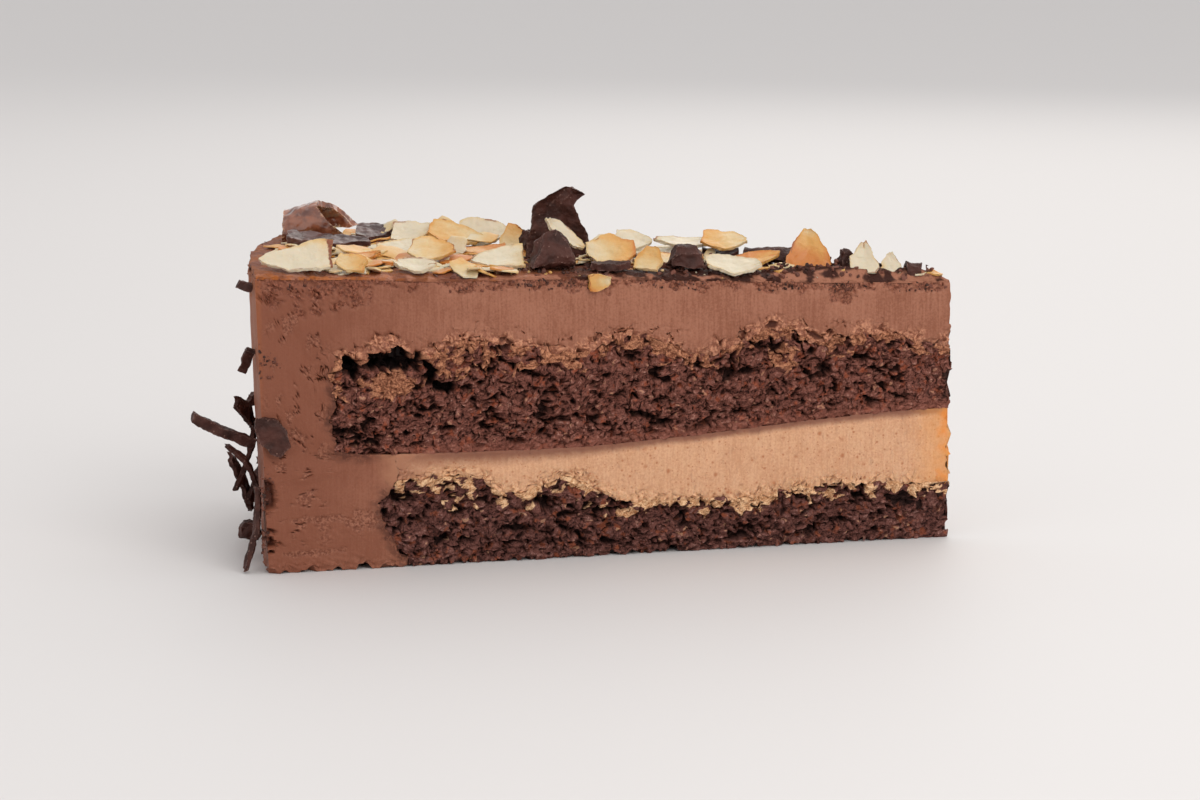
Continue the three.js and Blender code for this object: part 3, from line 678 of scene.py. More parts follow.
def mousseRelief(bench):
    place = Place(bench)
    toUpper = place.distanceTo("upper_sponge")
    toCaramel = place.distanceTo("caramel_cream")
    inner = least(least(toUpper, place.distanceTo("lower_sponge")), toCaramel)
    above = rise(place.height, *mousse["overSponge"])
    swirl = swirlOf(place.spot, mousse["swirl"], 3, 0.65)
    tornSpot = plus(place.spot, scaled(swirl, mousse["swirlReach"]))
    ragged = (noise(tornSpot, mousse["tornPatch"], 3) - 0.5) * mousse["tornRagged"]
    torn = fall(toUpper + ragged, *mousse["tornReach"])
    torn = torn * (above * place.onCut * rise(place.fromRim, *mousse["spongeFrom"]))
    lump = fall(cells(tornSpot, mousse["lump"]), *mousse["lumpEdge"])
    lump = lump * 0.6 + noise(tornSpot, 1.0, 3, 0.6) * 0.4
    crack, chink = mousseTears(place, tornSpot, torn, toUpper, above)
    toDome = place.reach(*mousse["dome"])  # a flap over the hollow
    overDome = rise(place.height, *mousse["domeFrom"]) * place.front * place.onCut
    dome = fall(abs(toDome - 1), *mousse["domeLine"]) * overDome
    dome = dome * patches(place.spot, mousse["domePatch"], mousse["domeShare"])
    torn = most(torn, fall(toDome, *mousse["domeTorn"]) * overDome)
    crack = most(most(crack, chink), dome * 0.8)
    hollow = patchedBy(place, upperSponge["hollows"]) * place.onCut
    peeled, tear = knifeMarks(place)
    pitLot = rise(axesOf(cells(place.spot, mousse["pit"], "Color"))[0], *mousse["pitLot"])
    busy = patches(place.spot, mousse["busy"], mousse["busyLevel"], 1)
    busy = busy * rise(place.height, *mousse["busyFrom"])
    pit = fall(cells(place.spot, mousse["pit"]), *mousse["pitEdge"]) * pitLot * busy
    stray = (noise(tornSpot, mousse["smudgeSize"], 3) - 0.5) * mousse["smudgeRagged"]
    smudge = fall(inner + stray, *mousse["smudgeReach"]) * place.onCut
    smudge = smudge * fall(place.height, *mousse["smudgeBelow"])
    crumb = edgeCrumbs(place)
    dent = patchedBy(place, mousse["dents"])
    dent = dent * patches(place.spot, mousse["dentPatch"], mousse["dentShare"], 3) * place.onCut
    scrape = most(peeled, patchedBy(place, mousse["scrapes"]))
    wave = (noise(place.spot, mousse["tornWave"], 2) - 0.5) * mousse["tornHeight"]
    height = torn * ((lump - 0.5) * mousse["lumpHeight"] + wave)
    height = height - crack * mousse["crackDepth"] - tear * mousse["tearDepth"] - pit * mousse["pitDepth"]
    grains = fall(cells(tornSpot, mousse["crumbSize"]), 0.05, 0.7) - 0.6
    height = height + crumb * grains * mousse["crumbHeight"] - dent * mousse["dentDepth"]
    height = height + scrape * (noise(place.spot, mousse["scrapeGrain"], 3) - 0.6)
    height = height + knifeRidges(place) * mousse["ridgeHeight"] - hollow * upperSponge["hollowDepth"]
    foot = fall(place.height, *mousse["foot"])
    footWave = (noise(place.spot, mousse["footSize"], 3) - 0.5) * mousse["footHeight"]
    height = height + foot * (footWave + (lump - 0.5) * 0.5)
    wallWave = noise(stretched(place.spot, mousse["wallStretch"]), mousse["wallWave"], 3) - 0.5
    height = height + place.onWall * wallWave * mousse["wallHeight"]
    marks = {
        "torn": torn, "lump": lump, "crack": most(most(crack, tear), most(pit, dent)), "crumb": crumb,
        "deep": hollow, "scrape": scrape, "toCaramel": toCaramel, "fromRim": place.fromRim, "foot": foot,
        "smudge": smudge,
    }
    lift = joined(bench, 0.0, 0.0, footLift(place) * mousse["footNotch"])
    mask = fall(inner, *mousse["innerReach"])
    return marks, plus(layerOffset(place, height, mask, mousse["tipReach"]), lift)


def mousseFinish():
    finish = Finish("chocolateMousse")
    streak = noise(stretched(finish.spot, mousse["streak"]), 1.0, 3)
    cloud = noise(finish.spot, mousse["cloud"], 3)
    grain = noise(finish.spot, mousse["grain"], 3, 0.65)
    fromRim = finish.mark("fromRim")
    value = streak * 0.3 + cloud * 0.3 + grain * 0.4
    tone = tint(paint(*mousse["shade"]), rise(value, *mousse["toneLevel"]), mousse["tone"])
    # painted shade: the cut darkens towards the rim, the side away from the key light
    rimSideShade = fall(fromRim + (cloud - 0.5) * mousse["rimCloud"], *mousse["rimSpan"])
    tone = tint(tone, rimSideShade * mousse["rimSideShadeShare"], mousse["rimSideShade"])
    # painted highlight and shade: the torn lumps are paler where they stand out and darker between them, with
    # random grain mixed in
    tornLevel = rise(finish.mark("lump") * 0.5 + grain, *mousse["tornTone"])
    tornTone = tint(paint(*mousse["torn"]), tornLevel, mousse["pale"])
    tone = blend(rise(finish.mark("torn"), *mousse["tornEdge"]) * mousse["tornShare"], tone, tornTone)
    crumbTone = tint(paint(*mousse["crumbDark"]), rise(grain, *mousse["crumbTone"]), mousse["crumbLight"])
    crumbMask = rise(finish.mark("crumb"), *mousse["crumbLevel"])
    crumbMask = crumbMask * patches(finish.spot, mousse["crumbGap"], mousse["crumbGapLevel"], 3)
    footMask = finish.mark("foot") * rise(grain, *mousse["footTone"])
    tone = blend(most(crumbMask * mousse["crumbShare"], footMask * mousse["footShare"]), tone, crumbTone)
    scraped = tint(paint(*mousse["crumbDark"]), rise(grain, *mousse["scrapeTone"]), mousse["tone"])
    tone = blend(finish.mark("scrape") * mousse["scrapeShare"], tone, scraped)
    toCaramel = finish.mark("toCaramel") + (cloud - 0.5) * mousse["mixedCloud"]
    mixed = fall(toCaramel, *mousse["mixedReach"])
    smudged = rise(grain + noise(finish.spot, mousse["smudgeGrain"], 3) * 0.6, *mousse["smudgeLevel"])
    smudged = finish.mark("smudge") * (1 - mixed) * smudged
    coats = (
        (smudged * mousse["smudgeShare"], mousse["smudge"]),
        (mixed * mousse["mixedShare"], caramel["mixed"]),
        # painted rim light: a thin warm line along the rim edge of the cut
        (fall(fromRim, *mousse["rimLightReach"]) * mousse["rimLightShare"], mousse["rim"]),
        # painted shade in the cracks, tears, pits, dents and along the edge of the flap over the hollow
        (rise(finish.mark("crack"), *mousse["crackLevel"]) * mousse["crackShade"], mousse["crack"]),
        # painted shade in the hollows
        (rise(finish.mark("deep"), *mousse["recessShadeLevel"]), upperSponge["deep"]),
    )
    for mask, colour in coats:
        tone = tint(tone, mask, colour)
    finish.feed(
        Base_Color=tone,
        Roughness=0.5 + 0.2 * grain,
        Normal=finish.bump(streak * 0.2 + grain * 0.5, 0.14),
        Subsurface_Weight=0.1,
        Subsurface_Radius=(1.0, 0.5, 0.3),
        Subsurface_Scale=0.001,
        Specular_IOR_Level=0.22,
    )
    return finish.material


def onCutOrWall(normal, centre):
    return onCut(normal, centre) or onWall(normal, centre)


piece = makeLayer("caramel_cream", "caramelCream", caramel["cuts"], onCut, caramelRelief)
finishLater = [(piece, caramelFinish(), "caramel", "caramel_cream")]
piece = makeLayer("chocolate_mousse", "chocolateMousse", mousse["cuts"], onCutOrWall, mousseRelief)
finishLater.append((piece, mousseFinish(), "mousse", "chocolate_mousse"))
for look, name in ((upperSponge, "upperSponge"), (lowerSponge, "lowerSponge")):
    piece = makeLayer(look["node"], name, look["cuts"], onCut, spongeRelief(look))
    finishLater.append((piece, spongeFinish(look), look["node"], look["node"]))
for row in finishLater:
    finishPiece(*row)

# The top: a thin amber glaze that turns to dark chocolate towards the point

glaze = {
    "lowest": 45, "thickness": 1.0, "cuts": 7, "wave": 3.2, "waveHeight": 1.1, "edge": 2.4,
    "thin": (-0.4, 3.0),
    "edgeDepth": 0.55, "mound": 2.2, "moundHeight": 1.3, "moundReach": (24, 46), "moundEdge": (0.0, 1.6),
    "wander": 1.6, "wanderReach": 0.9, "cloud": 4, "cloudLevel": (0.42, 0.6), "chocolateReach": (62, 86),
    "splash": 2.2, "splashLevel": (0.58, 0.66), "bare": 5, "bareLevel": (0.42, 0.5), "bareEdge": (0.25, 0.6),
    "chocolateCloud": 60, "splashShare": 0.6, "bareShare": 0.9, "dripCloud": 20, "dripShare": 0.6,
    "edgeRagged": 2.4, "dripFrom": (104, 114), "dripPatch": 1.6, "dripLevel": (0.42, 0.6),
    "amber": (134, 78, 46), "brown": (112, 66, 50), "dark": (56, 29, 22), "drip": (172, 96, 38),
}


def glazeRelief(bench):
    place = Place(bench)
    toMousse = place.distanceTo("chocolate_mousse")
    upper = rise(toMousse, 0.0, glaze["thickness"])  # the underside stays on the mousse
    x, y, _ = axesOf(place.spot)
    toCut = (cake["axisX"] - x) * math.sin(halfCut) - abs(y) * math.cos(halfCut)
    edge = fall(toCut + (noise(place.spot, glaze["edge"], 2) - 0.5) * glaze["edgeRagged"], *glaze["thin"])
    mound = fall(place.radius, *glaze["moundReach"]) * rise(toCut, *glaze["moundEdge"])
    mound = mound * (noise(place.spot, glaze["mound"], 3) + 0.5)
    wave = (noise(place.spot, glaze["wave"], 3) - 0.5) * glaze["waveHeight"]
    wave = (wave - edge * glaze["edgeDepth"] + mound * glaze["moundHeight"]) * upper
    sideways = scaled(swirlOf(place.spot, glaze["wander"], 2), glaze["wanderReach"])
    marks = {"radius": place.radius, "edge": edge * place.front}
    return marks, plus(sideways, joined(bench, 0.0, 0.0, wave))


def glazeFinish():
    finish = Finish("amberGlaze")
    radius, edge = finish.mark("radius"), finish.mark("edge")
    cloud = noise(finish.spot, glaze["cloud"], 3)
    tone = tint(paint(*glaze["amber"]), rise(cloud, *glaze["cloudLevel"]), glaze["brown"])
    chocolate = fall(radius + (cloud - 0.5) * glaze["chocolateCloud"], *glaze["chocolateReach"])
    splash = patches(finish.spot, glaze["splash"], glaze["splashLevel"], 3)
    tone = tint(tone, most(chocolate, splash * glaze["splashShare"]), glaze["dark"])
    bare = rise(edge, *glaze["bareEdge"]) * patches(finish.spot, glaze["bare"], glaze["bareLevel"], 3)
    tone = tint(tone, bare * glaze["bareShare"], mousse["tone"])
    drip = edge * rise(radius + (cloud - 0.5) * glaze["dripCloud"], *glaze["dripFrom"])
    drip = drip * patches(finish.spot, glaze["dripPatch"], glaze["dripLevel"], 3)
    finish.feed(
        Base_Color=tint(tone, drip * glaze["dripShare"], glaze["drip"]),
        Roughness=0.4 + 0.4 * noise(finish.spot, 1.2, 2),
        Normal=finish.bump(noise(finish.spot, 0.8, 3), 0.5),
        Specular_IOR_Level=0.12,
    )
    return finish.material


def makeGlaze():
    piece = copyNode("chocolate_mousse", "amberGlaze")
    selectFaces(piece, lambda normal, centre: normal.z < 0.8 or centre.z < glaze["lowest"] * mm)
    bpy.ops.mesh.delete(type="FACE")
    selectAll("SELECT")
    bpy.ops.mesh.extrude_region_move(TRANSFORM_OT_translate={"value": (0, 0, glaze["thickness"] * mm)})
    bpy.ops.mesh.subdivide(number_cuts=glaze["cuts"])
    selectAll("SELECT")
    bpy.ops.mesh.normals_make_consistent(inside=False)
    setMode("OBJECT")
    for group in ("cut", "wall"):
        piece.vertex_groups.new(name=group)
    shape(piece, glazeRelief)
    print("amberGlaze", len(piece.data.vertices), "points")
    finishPiece(piece, glazeFinish(), "glaze", "almond_glaze")


# Almond flakes: the toast of each is a mark, from white kernel to brown skin

almonds = {
    "cuts": 2, "crease": 0.85, "rounding": 2, "ragged": 0.5, "raggedSize": 2.6, "fine": 0.24, "fineSize": 0.8,
    "thin": 0.35, "wave": 0.5, "waveSize": 3.4, "skinned": {"almond_11": 0.84}, "lean": {"almond_22": -1.3},
    "toast": {"almond_pale": 0.0, "almond_golden": 0.44, "almond_toasted": 0.78}, "uneven": 0.3, "sharp": 35,
    "mottle": (3.0, 3), "mottleToast": 0.34, "fibre": (0.35, 3, 0.6), "fibreToast": 0.2, "edgeToast": 0.2,
    "levels": {"cream": (0.05, 0.4), "golden": (0.32, 0.62), "orange": (0.6, 0.95)},
    "skinEdge": (0.5, 0.9), "skinPatch": 4.5, "skinLevel": (0.58, 0.63), "skinShare": 0.75,
    "white": (198, 186, 162), "cream": (198, 172, 126), "golden": (198, 150, 82), "orange": (186, 114, 48),
    "skin": (122, 64, 34),
}


def draw(seed):  # between 0 and 1, the same each run
    return (math.sin(seed * 127.1 + 11.7) * 43758.5453) % 1


def detailedCopy(node, name, look):  # sharp edges are kept as creases and marked, for wear and for painted highlight on the chocolate
    piece = copyNode(node, name)
    setMode("EDIT")
    bpy.context.tool_settings.mesh_select_mode = (False, True, False)
    selectAll("SELECT")
    bpy.ops.mesh.subdivide(number_cuts=look["cuts"])
    selectAll("DESELECT")
    bpy.ops.mesh.edges_select_sharp(sharpness=math.radians(almonds["sharp"]))
    setMode("OBJECT")
    sharp = [edge.select for edge in piece.data.edges]
    creases = piece.data.attributes.new("crease_edge", "FLOAT", "EDGE")
    creases.data.foreach_set("value", np.array(sharp, np.float32) * look["crease"])
    markPoints(piece, "edge", [vertex.select for vertex in piece.data.vertices])
    rounding = piece.modifiers.new("rounding", "SUBSURF")
    rounding.levels = rounding.render_levels = look["rounding"]
    applyModifiers(piece)
    return piece


def raggedRelief(look, flat=None):  # with the normal of a flat piece, its outline is ragged and its face wavy
    def build(bench):
        spot = scaled(bench.node("GeometryNodeInputPosition"), 1 / mm)
        offset = joined(bench, 0.0, 0.0, 0.0)
        for size, reach in ((look["raggedSize"], look["ragged"]), (look["fineSize"], look["fine"])):
            offset = plus(offset, scaled(swirlOf(spot, size, 2), reach * 2))
        if flat is not None:
            offset = vectorMath("SUBTRACT", offset, vectorMath("PROJECT", offset, tuple(flat)))
            wave = (noise(spot, almonds["waveSize"], 2) - 0.5) * almonds["wave"] * 2
            inward = vectorMath("PROJECT", bench.node("GeometryNodeInputNormal"), tuple(flat))
            thinner = scaled(inward, -almonds["thin"] / 2)
            offset = plus(offset, plus(scaled(joined(bench, *flat), wave), thinner))
        return {}, offset
    return build


def flakeAxes(places):  # along, across and through a flake
    axes = np.linalg.svd(places - places.mean(0), full_matrices=False)[2]
    return axes * np.sign(axes[np.arange(3), np.abs(axes).argmax(1)])[:, None]


def spreadOf(places):  # along and across a flake, from -1 to 1
    spread = (places - places.mean(0)) @ flakeAxes(places)[:2].T
    return (spread / np.abs(spread).max(0)).T


def toastOf(places, base, seed, lean=None):
    along, across = spreadOf(places)
    if lean is None:
        lean = (draw(seed) - 0.5) * 2
    return np.clip(base + almonds["uneven"] * (lean * along + (draw(seed + 0.3) - 0.5) * across), 0, 1)


def almondFinish():
    finish = Finish("toastedAlmond")
    edge = finish.mark("edge")
    mottle = noise(finish.spot, *almonds["mottle"])
    fibre = noise(finish.spot, *almonds["fibre"])
    toast = finish.mark("toast") + (mottle - 0.5) * almonds["mottleToast"]
    toast = toast + (fibre - 0.5) * almonds["fibreToast"] + edge * almonds["edgeToast"]
    tone = paint(*almonds["white"])
    for colour, level in almonds["levels"].items():
        tone = tint(tone, rise(toast, *level), almonds[colour])
    skin = rise(edge, *almonds["skinEdge"]) * patches(finish.spot, almonds["skinPatch"], almonds["skinLevel"])
    skin = most(skin * almonds["skinShare"], finish.mark("skin"))
    finish.feed(
        Base_Color=tint(tone, skin, almonds["skin"]),
        Roughness=0.3 + 0.2 * fibre,
        Normal=finish.bump(fibre * 0.5 + mottle, 0.1),
        Subsurface_Weight=0.3,
        Subsurface_Radius=(1.0, 0.6, 0.35),
        Subsurface_Scale=0.0011,
        Specular_IOR_Level=0.4,
    )
    return finish.material


def makeAlmonds(material):
    nodes = [node for node in sorted(slotOf) if slotOf[node] in almonds["toast"]]
    for seed, node in enumerate(nodes):
        piece = detailedCopy(node, "flake." + node, almonds)
        places, base = pointsOf(piece), almonds["toast"][slotOf[node]]
        markPoints(piece, "toast", toastOf(places, base, seed, almonds["lean"].get(node)))
        if node in almonds["skinned"]:
            markPoints(piece, "skin", spreadOf(places)[0] > almonds["skinned"][node])
        shape(piece, raggedRelief(almonds, flakeAxes(pointsOf(piece))[2]))
        finishPiece(piece, material, slotOf[node], node)
    print(len(nodes), "almond flakes")


# The small flakes that are fused to the glaze, laid by the same rule as in the solid

heap = {
    "count": 145, "thickness": 0.75, "length": (4.5, 9), "slimness": (0.6, 0.85), "across": (0.06, 0.95),
    "radiusShare": (0.02, 0.9), "tip": 14, "rest": 0.25, "secondLayer": 0.95, "near": 0.1,
    "blunt": (0.1, 0.34), "pointed": (0.8, 0.96), "fullness": 0.75, "uneven": 0.4, "brokenEnd": 0.16,
    "crease": 0.92, "toast": (0.0, 0.85), "ragged": 0.3, "fine": 0.2, "fineSize": 0.8,
    "rounding": 2, "edge": 0.5, "toastCurve": 1.6, "above": 100,
}
chips = {
    "count": 360, "length": (2.4, 7.6), "slimness": (0.4, 0.8), "thickness": 0.6, "tip": 14,
    "lift": (0.1, 1.1),
    "across": (0.05, 0.95), "radiusShare": (0.08, 0.92), "toast": (0.0, 0.8), "clear": 0.35,
    "toastCurve": 1.3, "first": 1000, "looseFirst": 3000,
}
edgeFlakes = {  # along the front edge, towards the rim
    "count": 26, "length": (3.6, 8.6), "slimness": (0.4, 0.75), "thickness": 0.6, "tip": 26,
    "lift": (0.1, 1.2), "fromRim": (16, 64), "inward": (1.5, 9), "toast": (0.0, 0.85), "clear": 0.4,
    "toastCurve": 1.3, "first": 2000,
}
looseFlakes = (  # x, y, length, width, turn, tilt, roll, lift and toast of flakes laid one by one
    (-38, 22, 9.8, 6, 8, 4, 30, 1.8, 0.1), (-26.8, 1.6, 4.4, 4, 80, 50, 0, 2.2, 0.05),
    (-22.3, 14.5, 6, 4, 0, 0, 20, 2.6, 0.3), (0.6, 12, 4.6, 3.4, 20, 10, 30, 2.8, 0.05),
    (20.9, 3, 4.2, 2, 75, 40, 0, 1.8, 0.1), (60.4, -0.6, 2.6, 1.8, 30, 10, 10, 0.6, 0),
    (63, 0, 2.8, 1.8, -15, -12, 10, 0.6, 0.6),
    (-42.7, -19.4, 4, 3, -20, -20, 20, 1.4, 0.45), (-47, -27.2, 2.8, 1.9, 10, 0, 20, 0.5, 0.1),
    (-2.3, -6, 3.2, 1.3, 20, 10, 0, 1.7, 0.1), (-26.7, -9.3, 6, 4.4, 10, 4, 16, 1.0, 0.9),
    (-19.5, -14.4, 8, 3.6, 8, 0, 14, 0.8, 0.7), (3, 13.4, 8, 4.6, 14, -4, 20, 1.6, 0.15),
    (11.6, 11.4, 9, 4.4, -8, 4, 16, 1.4, 0.1), (20, 9.6, 8, 4, 6, -3, 18, 1.5, 0.3),
    (28.4, 7.8, 6, 3.4, -12, 4, 20, 1.2, 0.1),
    (34.4, -3.6, 4.4, 2.6, 10, 4, 24, 0.9, 0.2), (44.4, -2.4, 3.4, 2.2, -24, 4, 20, 0.8, 0.4),
    (-42, 20.6, 7, 3.6, 24, 32, 14, 2.4, 0.2), (-31.6, 17, 8.4, 4.6, 50, 36, 16, 2.8, 0.5),
    (-12.4, 13.6, 6.4, 3.4, 62, 34, 8, 2.4, 0.4), (-49.6, 8.4, 6.4, 4, 30, 8, 18, 0.9, 0.2),
)
evenSteps = {
    "across": 0.618034, "radius": 0.754878, "length": 0.819173, "width": 0.437, "tilt": 0.549, "roll": 0.671,
    "turn": 0.56984, "start": 0.31,
}


def treeOf(*nodes):  # of solids, whether they are shown or not
    points, faces = [], []
    for node in nodes:
        solid, first = frame["nodes"][node].data, len(points)
        points += [vertex.co for vertex in solid.vertices]
        faces += [[first + corner for corner in face.vertices] for face in solid.polygons]
    return BVHTree.FromPolygons(points, faces)


underneath = ("almond_glaze", "chocolate_mousse", "almond_on_cut")
onTop = [node for node in slotOf if node.startswith(("almond", "chocolate")) and node not in underneath]
toppings = treeOf(*onTop)
plainTop = treeOf("chocolate_mousse")
down = Vector((0, 0, -1))


def toToppings(point):  # millimetres to the nearest of the larger toppings
    return toppings.find_nearest(point)[3] / mm


def topHeight(x, y):  # of the mousse, in millimetres
    return plainTop.ray_cast(Vector((x * mm, y * mm, heap["above"] * mm)), down)[0].z / mm


def evenDraw(quantity, k):
    return (evenSteps["start"] + evenSteps[quantity] * k) % 1


def between(limits, share):
    return limits[0] + (limits[1] - limits[0]) * share


def flakeCage(length, width, thickness, seed):  # 4 steps long, one wide, one thick
    start = between(heap["blunt"], draw(seed + 0.21))
    end = between(heap["pointed"], draw(seed + 0.43))
    points = []
    for step in range(5):
        swell = math.sin(math.pi * between((start, end), step / 4)) ** heap["fullness"]
        for side in (0, 1):
            edge = draw(seed + 3 * step + 17 * side) - 0.5
            half = 0.5 * width * swell * (1 + heap["uneven"] * edge)
            broken = heap["brokenEnd"] * edge if step in (0, 4) else 0
            ahead = length * (step / 4 - 0.5 + broken)
            for up in (0, 1):
                points.append((ahead, half * (2 * side - 1), thickness * (up - 0.5)))
    return points


def cageFaces(first):  # points run up, then across, then along
    faces = [(0, 1, 3, 2), (16, 18, 19, 17)]
    for step in range(4):
        a = 4 * step
        faces += [(a + 1, a + 5, a + 7, a + 3), (a, a + 2, a + 6, a + 4)]
        faces += [(a, a + 4, a + 5, a + 1), (a + 2, a + 3, a + 7, a + 6)]
    return [tuple(first + corner for corner in face) for face in faces]


def placeCage(cage, x, y, z, turn, tilt, roll):
    turned = Euler((math.radians(roll), -math.radians(tilt), math.radians(turn)), "XYZ").to_matrix()
    return [(turned @ Vector(point) + Vector((x, y, z))) * mm for point in cage]


def spreadOver(look, k):  # distance from the axis and angle round it
    across = between(look["across"], evenDraw("across", k))
    radius = cake["radius"] * math.sqrt(between(look["radiusShare"], evenDraw("radius", k)))
    return radius, 2 * halfCut * (across - 0.5)


def spreadAlongEdge(look, k):
    radius = cake["radius"] - between(look["fromRim"], evenDraw("across", k))
    return radius, between(look["inward"], draw(k + 0.9)) / radius - halfCut


def layFlake(look, k, place, lift):
    radius, angle = place
    length = between(look["length"], evenDraw("length", k))
    width = length * between(look["slimness"], evenDraw("width", k))
    x, y = cake["axisX"] - radius * math.cos(angle), radius * math.sin(angle)
    z = topHeight(x, y) + glaze["thickness"] + lift
    tilt, roll = [look["tip"] * (2 * evenDraw(quantity, k) - 1) for quantity in ("tilt", "roll")]
    cage = flakeCage(length, width, look["thickness"], k)
    return placeCage(cage, x, y, z, 360 * evenDraw("turn", k), tilt, roll)


def meshPiece(name, points, faces):
    data = bpy.data.meshes.new(name)
    data.from_pydata([tuple(point) for point in points], [], faces)
    piece = bpy.data.objects.new(name, data)
    bpy.context.scene.collection.objects.link(piece)
    return piece


def trimAtCuts(piece):  # where the knife went
    onlySelect(piece)
    for normal in (frontNormal, backNormal):
        setMode("EDIT")
        selectAll("SELECT")
        centre = (cake["axisX"] * mm, 0, 0)
        bpy.ops.mesh.bisect(plane_co=centre, plane_no=normal, use_fill=True, clear_outer=True)
        setMode("OBJECT")


def flakePiece(name, cages, toasts, material):
    points = [point for cage in cages for point in cage]
    faces = [face for index in range(len(cages)) for face in cageFaces(index * 20)]
    toast = [toastOf(np.array(cage), base, k) for k, (cage, base) in enumerate(zip(cages, toasts))]
    piece = meshPiece(name, points, faces)
    markPoints(piece, "toast", np.concatenate(toast))
    markPoints(piece, "edge", np.full(len(points), heap["edge"]))
    creases = piece.data.attributes.new("crease_edge", "FLOAT", "EDGE")
    creases.data.foreach_set("value", np.full(len(piece.data.edges), heap["crease"], np.float32))
    rounding = piece.modifiers.new("rounding", "SUBSURF")
    rounding.levels = rounding.render_levels = heap["rounding"]
    applyModifiers(piece)
    shape(piece, raggedRelief({"raggedSize": almonds["raggedSize"], **heap}, (0, 0, 1)))
    trimAtCuts(piece)
    finishPiece(piece, material, "almond_pale", "almond_glaze")
    print(name, len(cages), "flakes")


def toastFor(look, k):
    return between(look["toast"], draw(k + 0.7) ** look["toastCurve"])


def makeHeap(material):
    solid = frame["nodes"]["almond_glaze"]
    known = kdtree.KDTree(len(solid.data.vertices))
    for vertex in solid.data.vertices:
        known.insert(vertex.co, vertex.index)
    known.balance()
    cages, toasts = [], []
    for k in range(heap["count"]):
        lift = heap["rest"] + heap["secondLayer"] * (k % 2)
        cage = layFlake(heap, k, spreadOver(heap, k), lift)
        if min(known.find(point)[2] for point in cage[1::2]) < heap["near"] * mm:
            cages.append(cage)
            toasts.append(toastFor(heap, k))
    flakePiece("flake.small", cages, toasts, material)
    cages, toasts = [], []
    for look, spread in ((chips, spreadOver), (edgeFlakes, spreadAlongEdge)):
        for k in range(look["first"], look["first"] + look["count"]):
            cage = layFlake(look, k, spread(look, k), between(look["lift"], draw(k + 0.1) ** 2))
            if min(toToppings(point) for point in cage[1::2]) > look["clear"]:
                cages.append(cage)
                toasts.append(toastFor(look, k))
    for k, (x, y, length, width, turn, tilt, roll, lift, toast) in enumerate(looseFlakes):
        cage = flakeCage(length, width, chips["thickness"], chips["looseFirst"] + k)
        cages.append(placeCage(cage, x, y, topHeight(x, y) + glaze["thickness"] + lift, turn, tilt, roll))
        toasts.append(toast)
    flakePiece("flake.chips", cages, toasts, material)


# Chocolate: chunks, shards and curls on the top, shavings round the rim

shaved = {  # what the kinds of chocolate share
    "cloud": (3, 3), "cloudLevel": (0.35, 0.65), "grain": (0.4, 3, 0.6), "speckSize": 0.8,
    "speckEdge": (0.1, 0.24), "speckLot": (0.75, 0.8), "edgeWearAndHighlightLevel": (0.45, 0.65), "coatRoughness": 0.06,
}
darkChocolate = {
    **shaved,
    "cuts": 4, "crease": 0.7, "rounding": 1, "ragged": 0.75, "raggedSize": 3.4, "fine": 0.16, "fineSize": 0.8,
    "body": (52, 29, 24), "warm": (74, 42, 35), "bloomAndHighlight": (140, 108, 98), "roughness": (0.42, 0.25),
    "specular": 0.2, "coat": 0, "bump": 0.3, "specks": 0.6, "edgeWearAndHighlight": 0.5,
}
satinChocolate = {
    **darkChocolate, "body": (58, 34, 31), "warm": (84, 54, 50), "roughness": (0.26, 0.2), "specular": 0.35,
    "coat": 0.25, "bump": 0.06, "specks": 0.2, "nodes": ("chocolate_flake_rim", "chocolate_flake_back"),
}
milkChocolate = {
    **shaved,
    "cuts": 3, "crease": 0.6, "rounding": 1, "ragged": 0.9, "raggedSize": 4.0, "fine": 0.1, "fineSize": 1.0,
    "body": (80, 36, 22), "warm": (142, 84, 58), "bloomAndHighlight": (224, 184, 144), "roughness": (0.06, 0.1),
    "specular": 0.5, "coat": 0.9, "bump": 0.05, "specks": 0, "edgeWearAndHighlight": 0.8,
}


def chocolateFinish(name, look):
    finish = Finish(name)
    cloud = noise(finish.spot, *look["cloud"])
    fine = noise(finish.spot, *look["grain"])
    tone = tint(paint(*look["body"]), rise(cloud, *look["cloudLevel"]), look["warm"])
    chosen = rise(axesOf(cells(finish.spot, look["speckSize"], "Color"))[1], *look["speckLot"])
    specks = fall(cells(finish.spot, look["speckSize"]), *look["speckEdge"]) * chosen
    # the paler sharp edges are partly wear and partly painted highlight, on the milk scroll wholly painted
    # highlight; the specks are bloom
    edgeWearAndHighlight = finish.mark("edge") * rise(fine, *look["edgeWearAndHighlightLevel"])
    finish.feed(
        Base_Color=tint(tone, specks * look["specks"] + edgeWearAndHighlight * look["edgeWearAndHighlight"], look["bloomAndHighlight"]),
        Roughness=look["roughness"][0] + look["roughness"][1] * fine,
        Normal=finish.bump(fine * 0.5 + cloud, look["bump"]),
        Coat_Weight=look["coat"],
        Coat_Roughness=look["coatRoughness"],
        Specular_IOR_Level=look["specular"],
    )
    return finish.material


def makeChocolate():
    dark = chocolateFinish("darkShavings", darkChocolate)
    satin = chocolateFinish("satinFlakes", satinChocolate)
    milk = chocolateFinish("milkScroll", milkChocolate)
    kinds = {"dark_chocolate": (darkChocolate, dark), "milk_chocolate": (milkChocolate, milk)}
    for node in sorted(slotOf):
        if slotOf[node] in kinds:
            look, material = kinds[slotOf[node]]
            piece = detailedCopy(node, "shaved." + node, look)
            shape(piece, raggedRelief(look))
            finishPiece(piece, satin if node in satinChocolate["nodes"] else material, slotOf[node], node)
    print("chocolate pieces")


# Crumbs: chocolate and almond on the top, chocolate in clusters along the upper edge of the cut

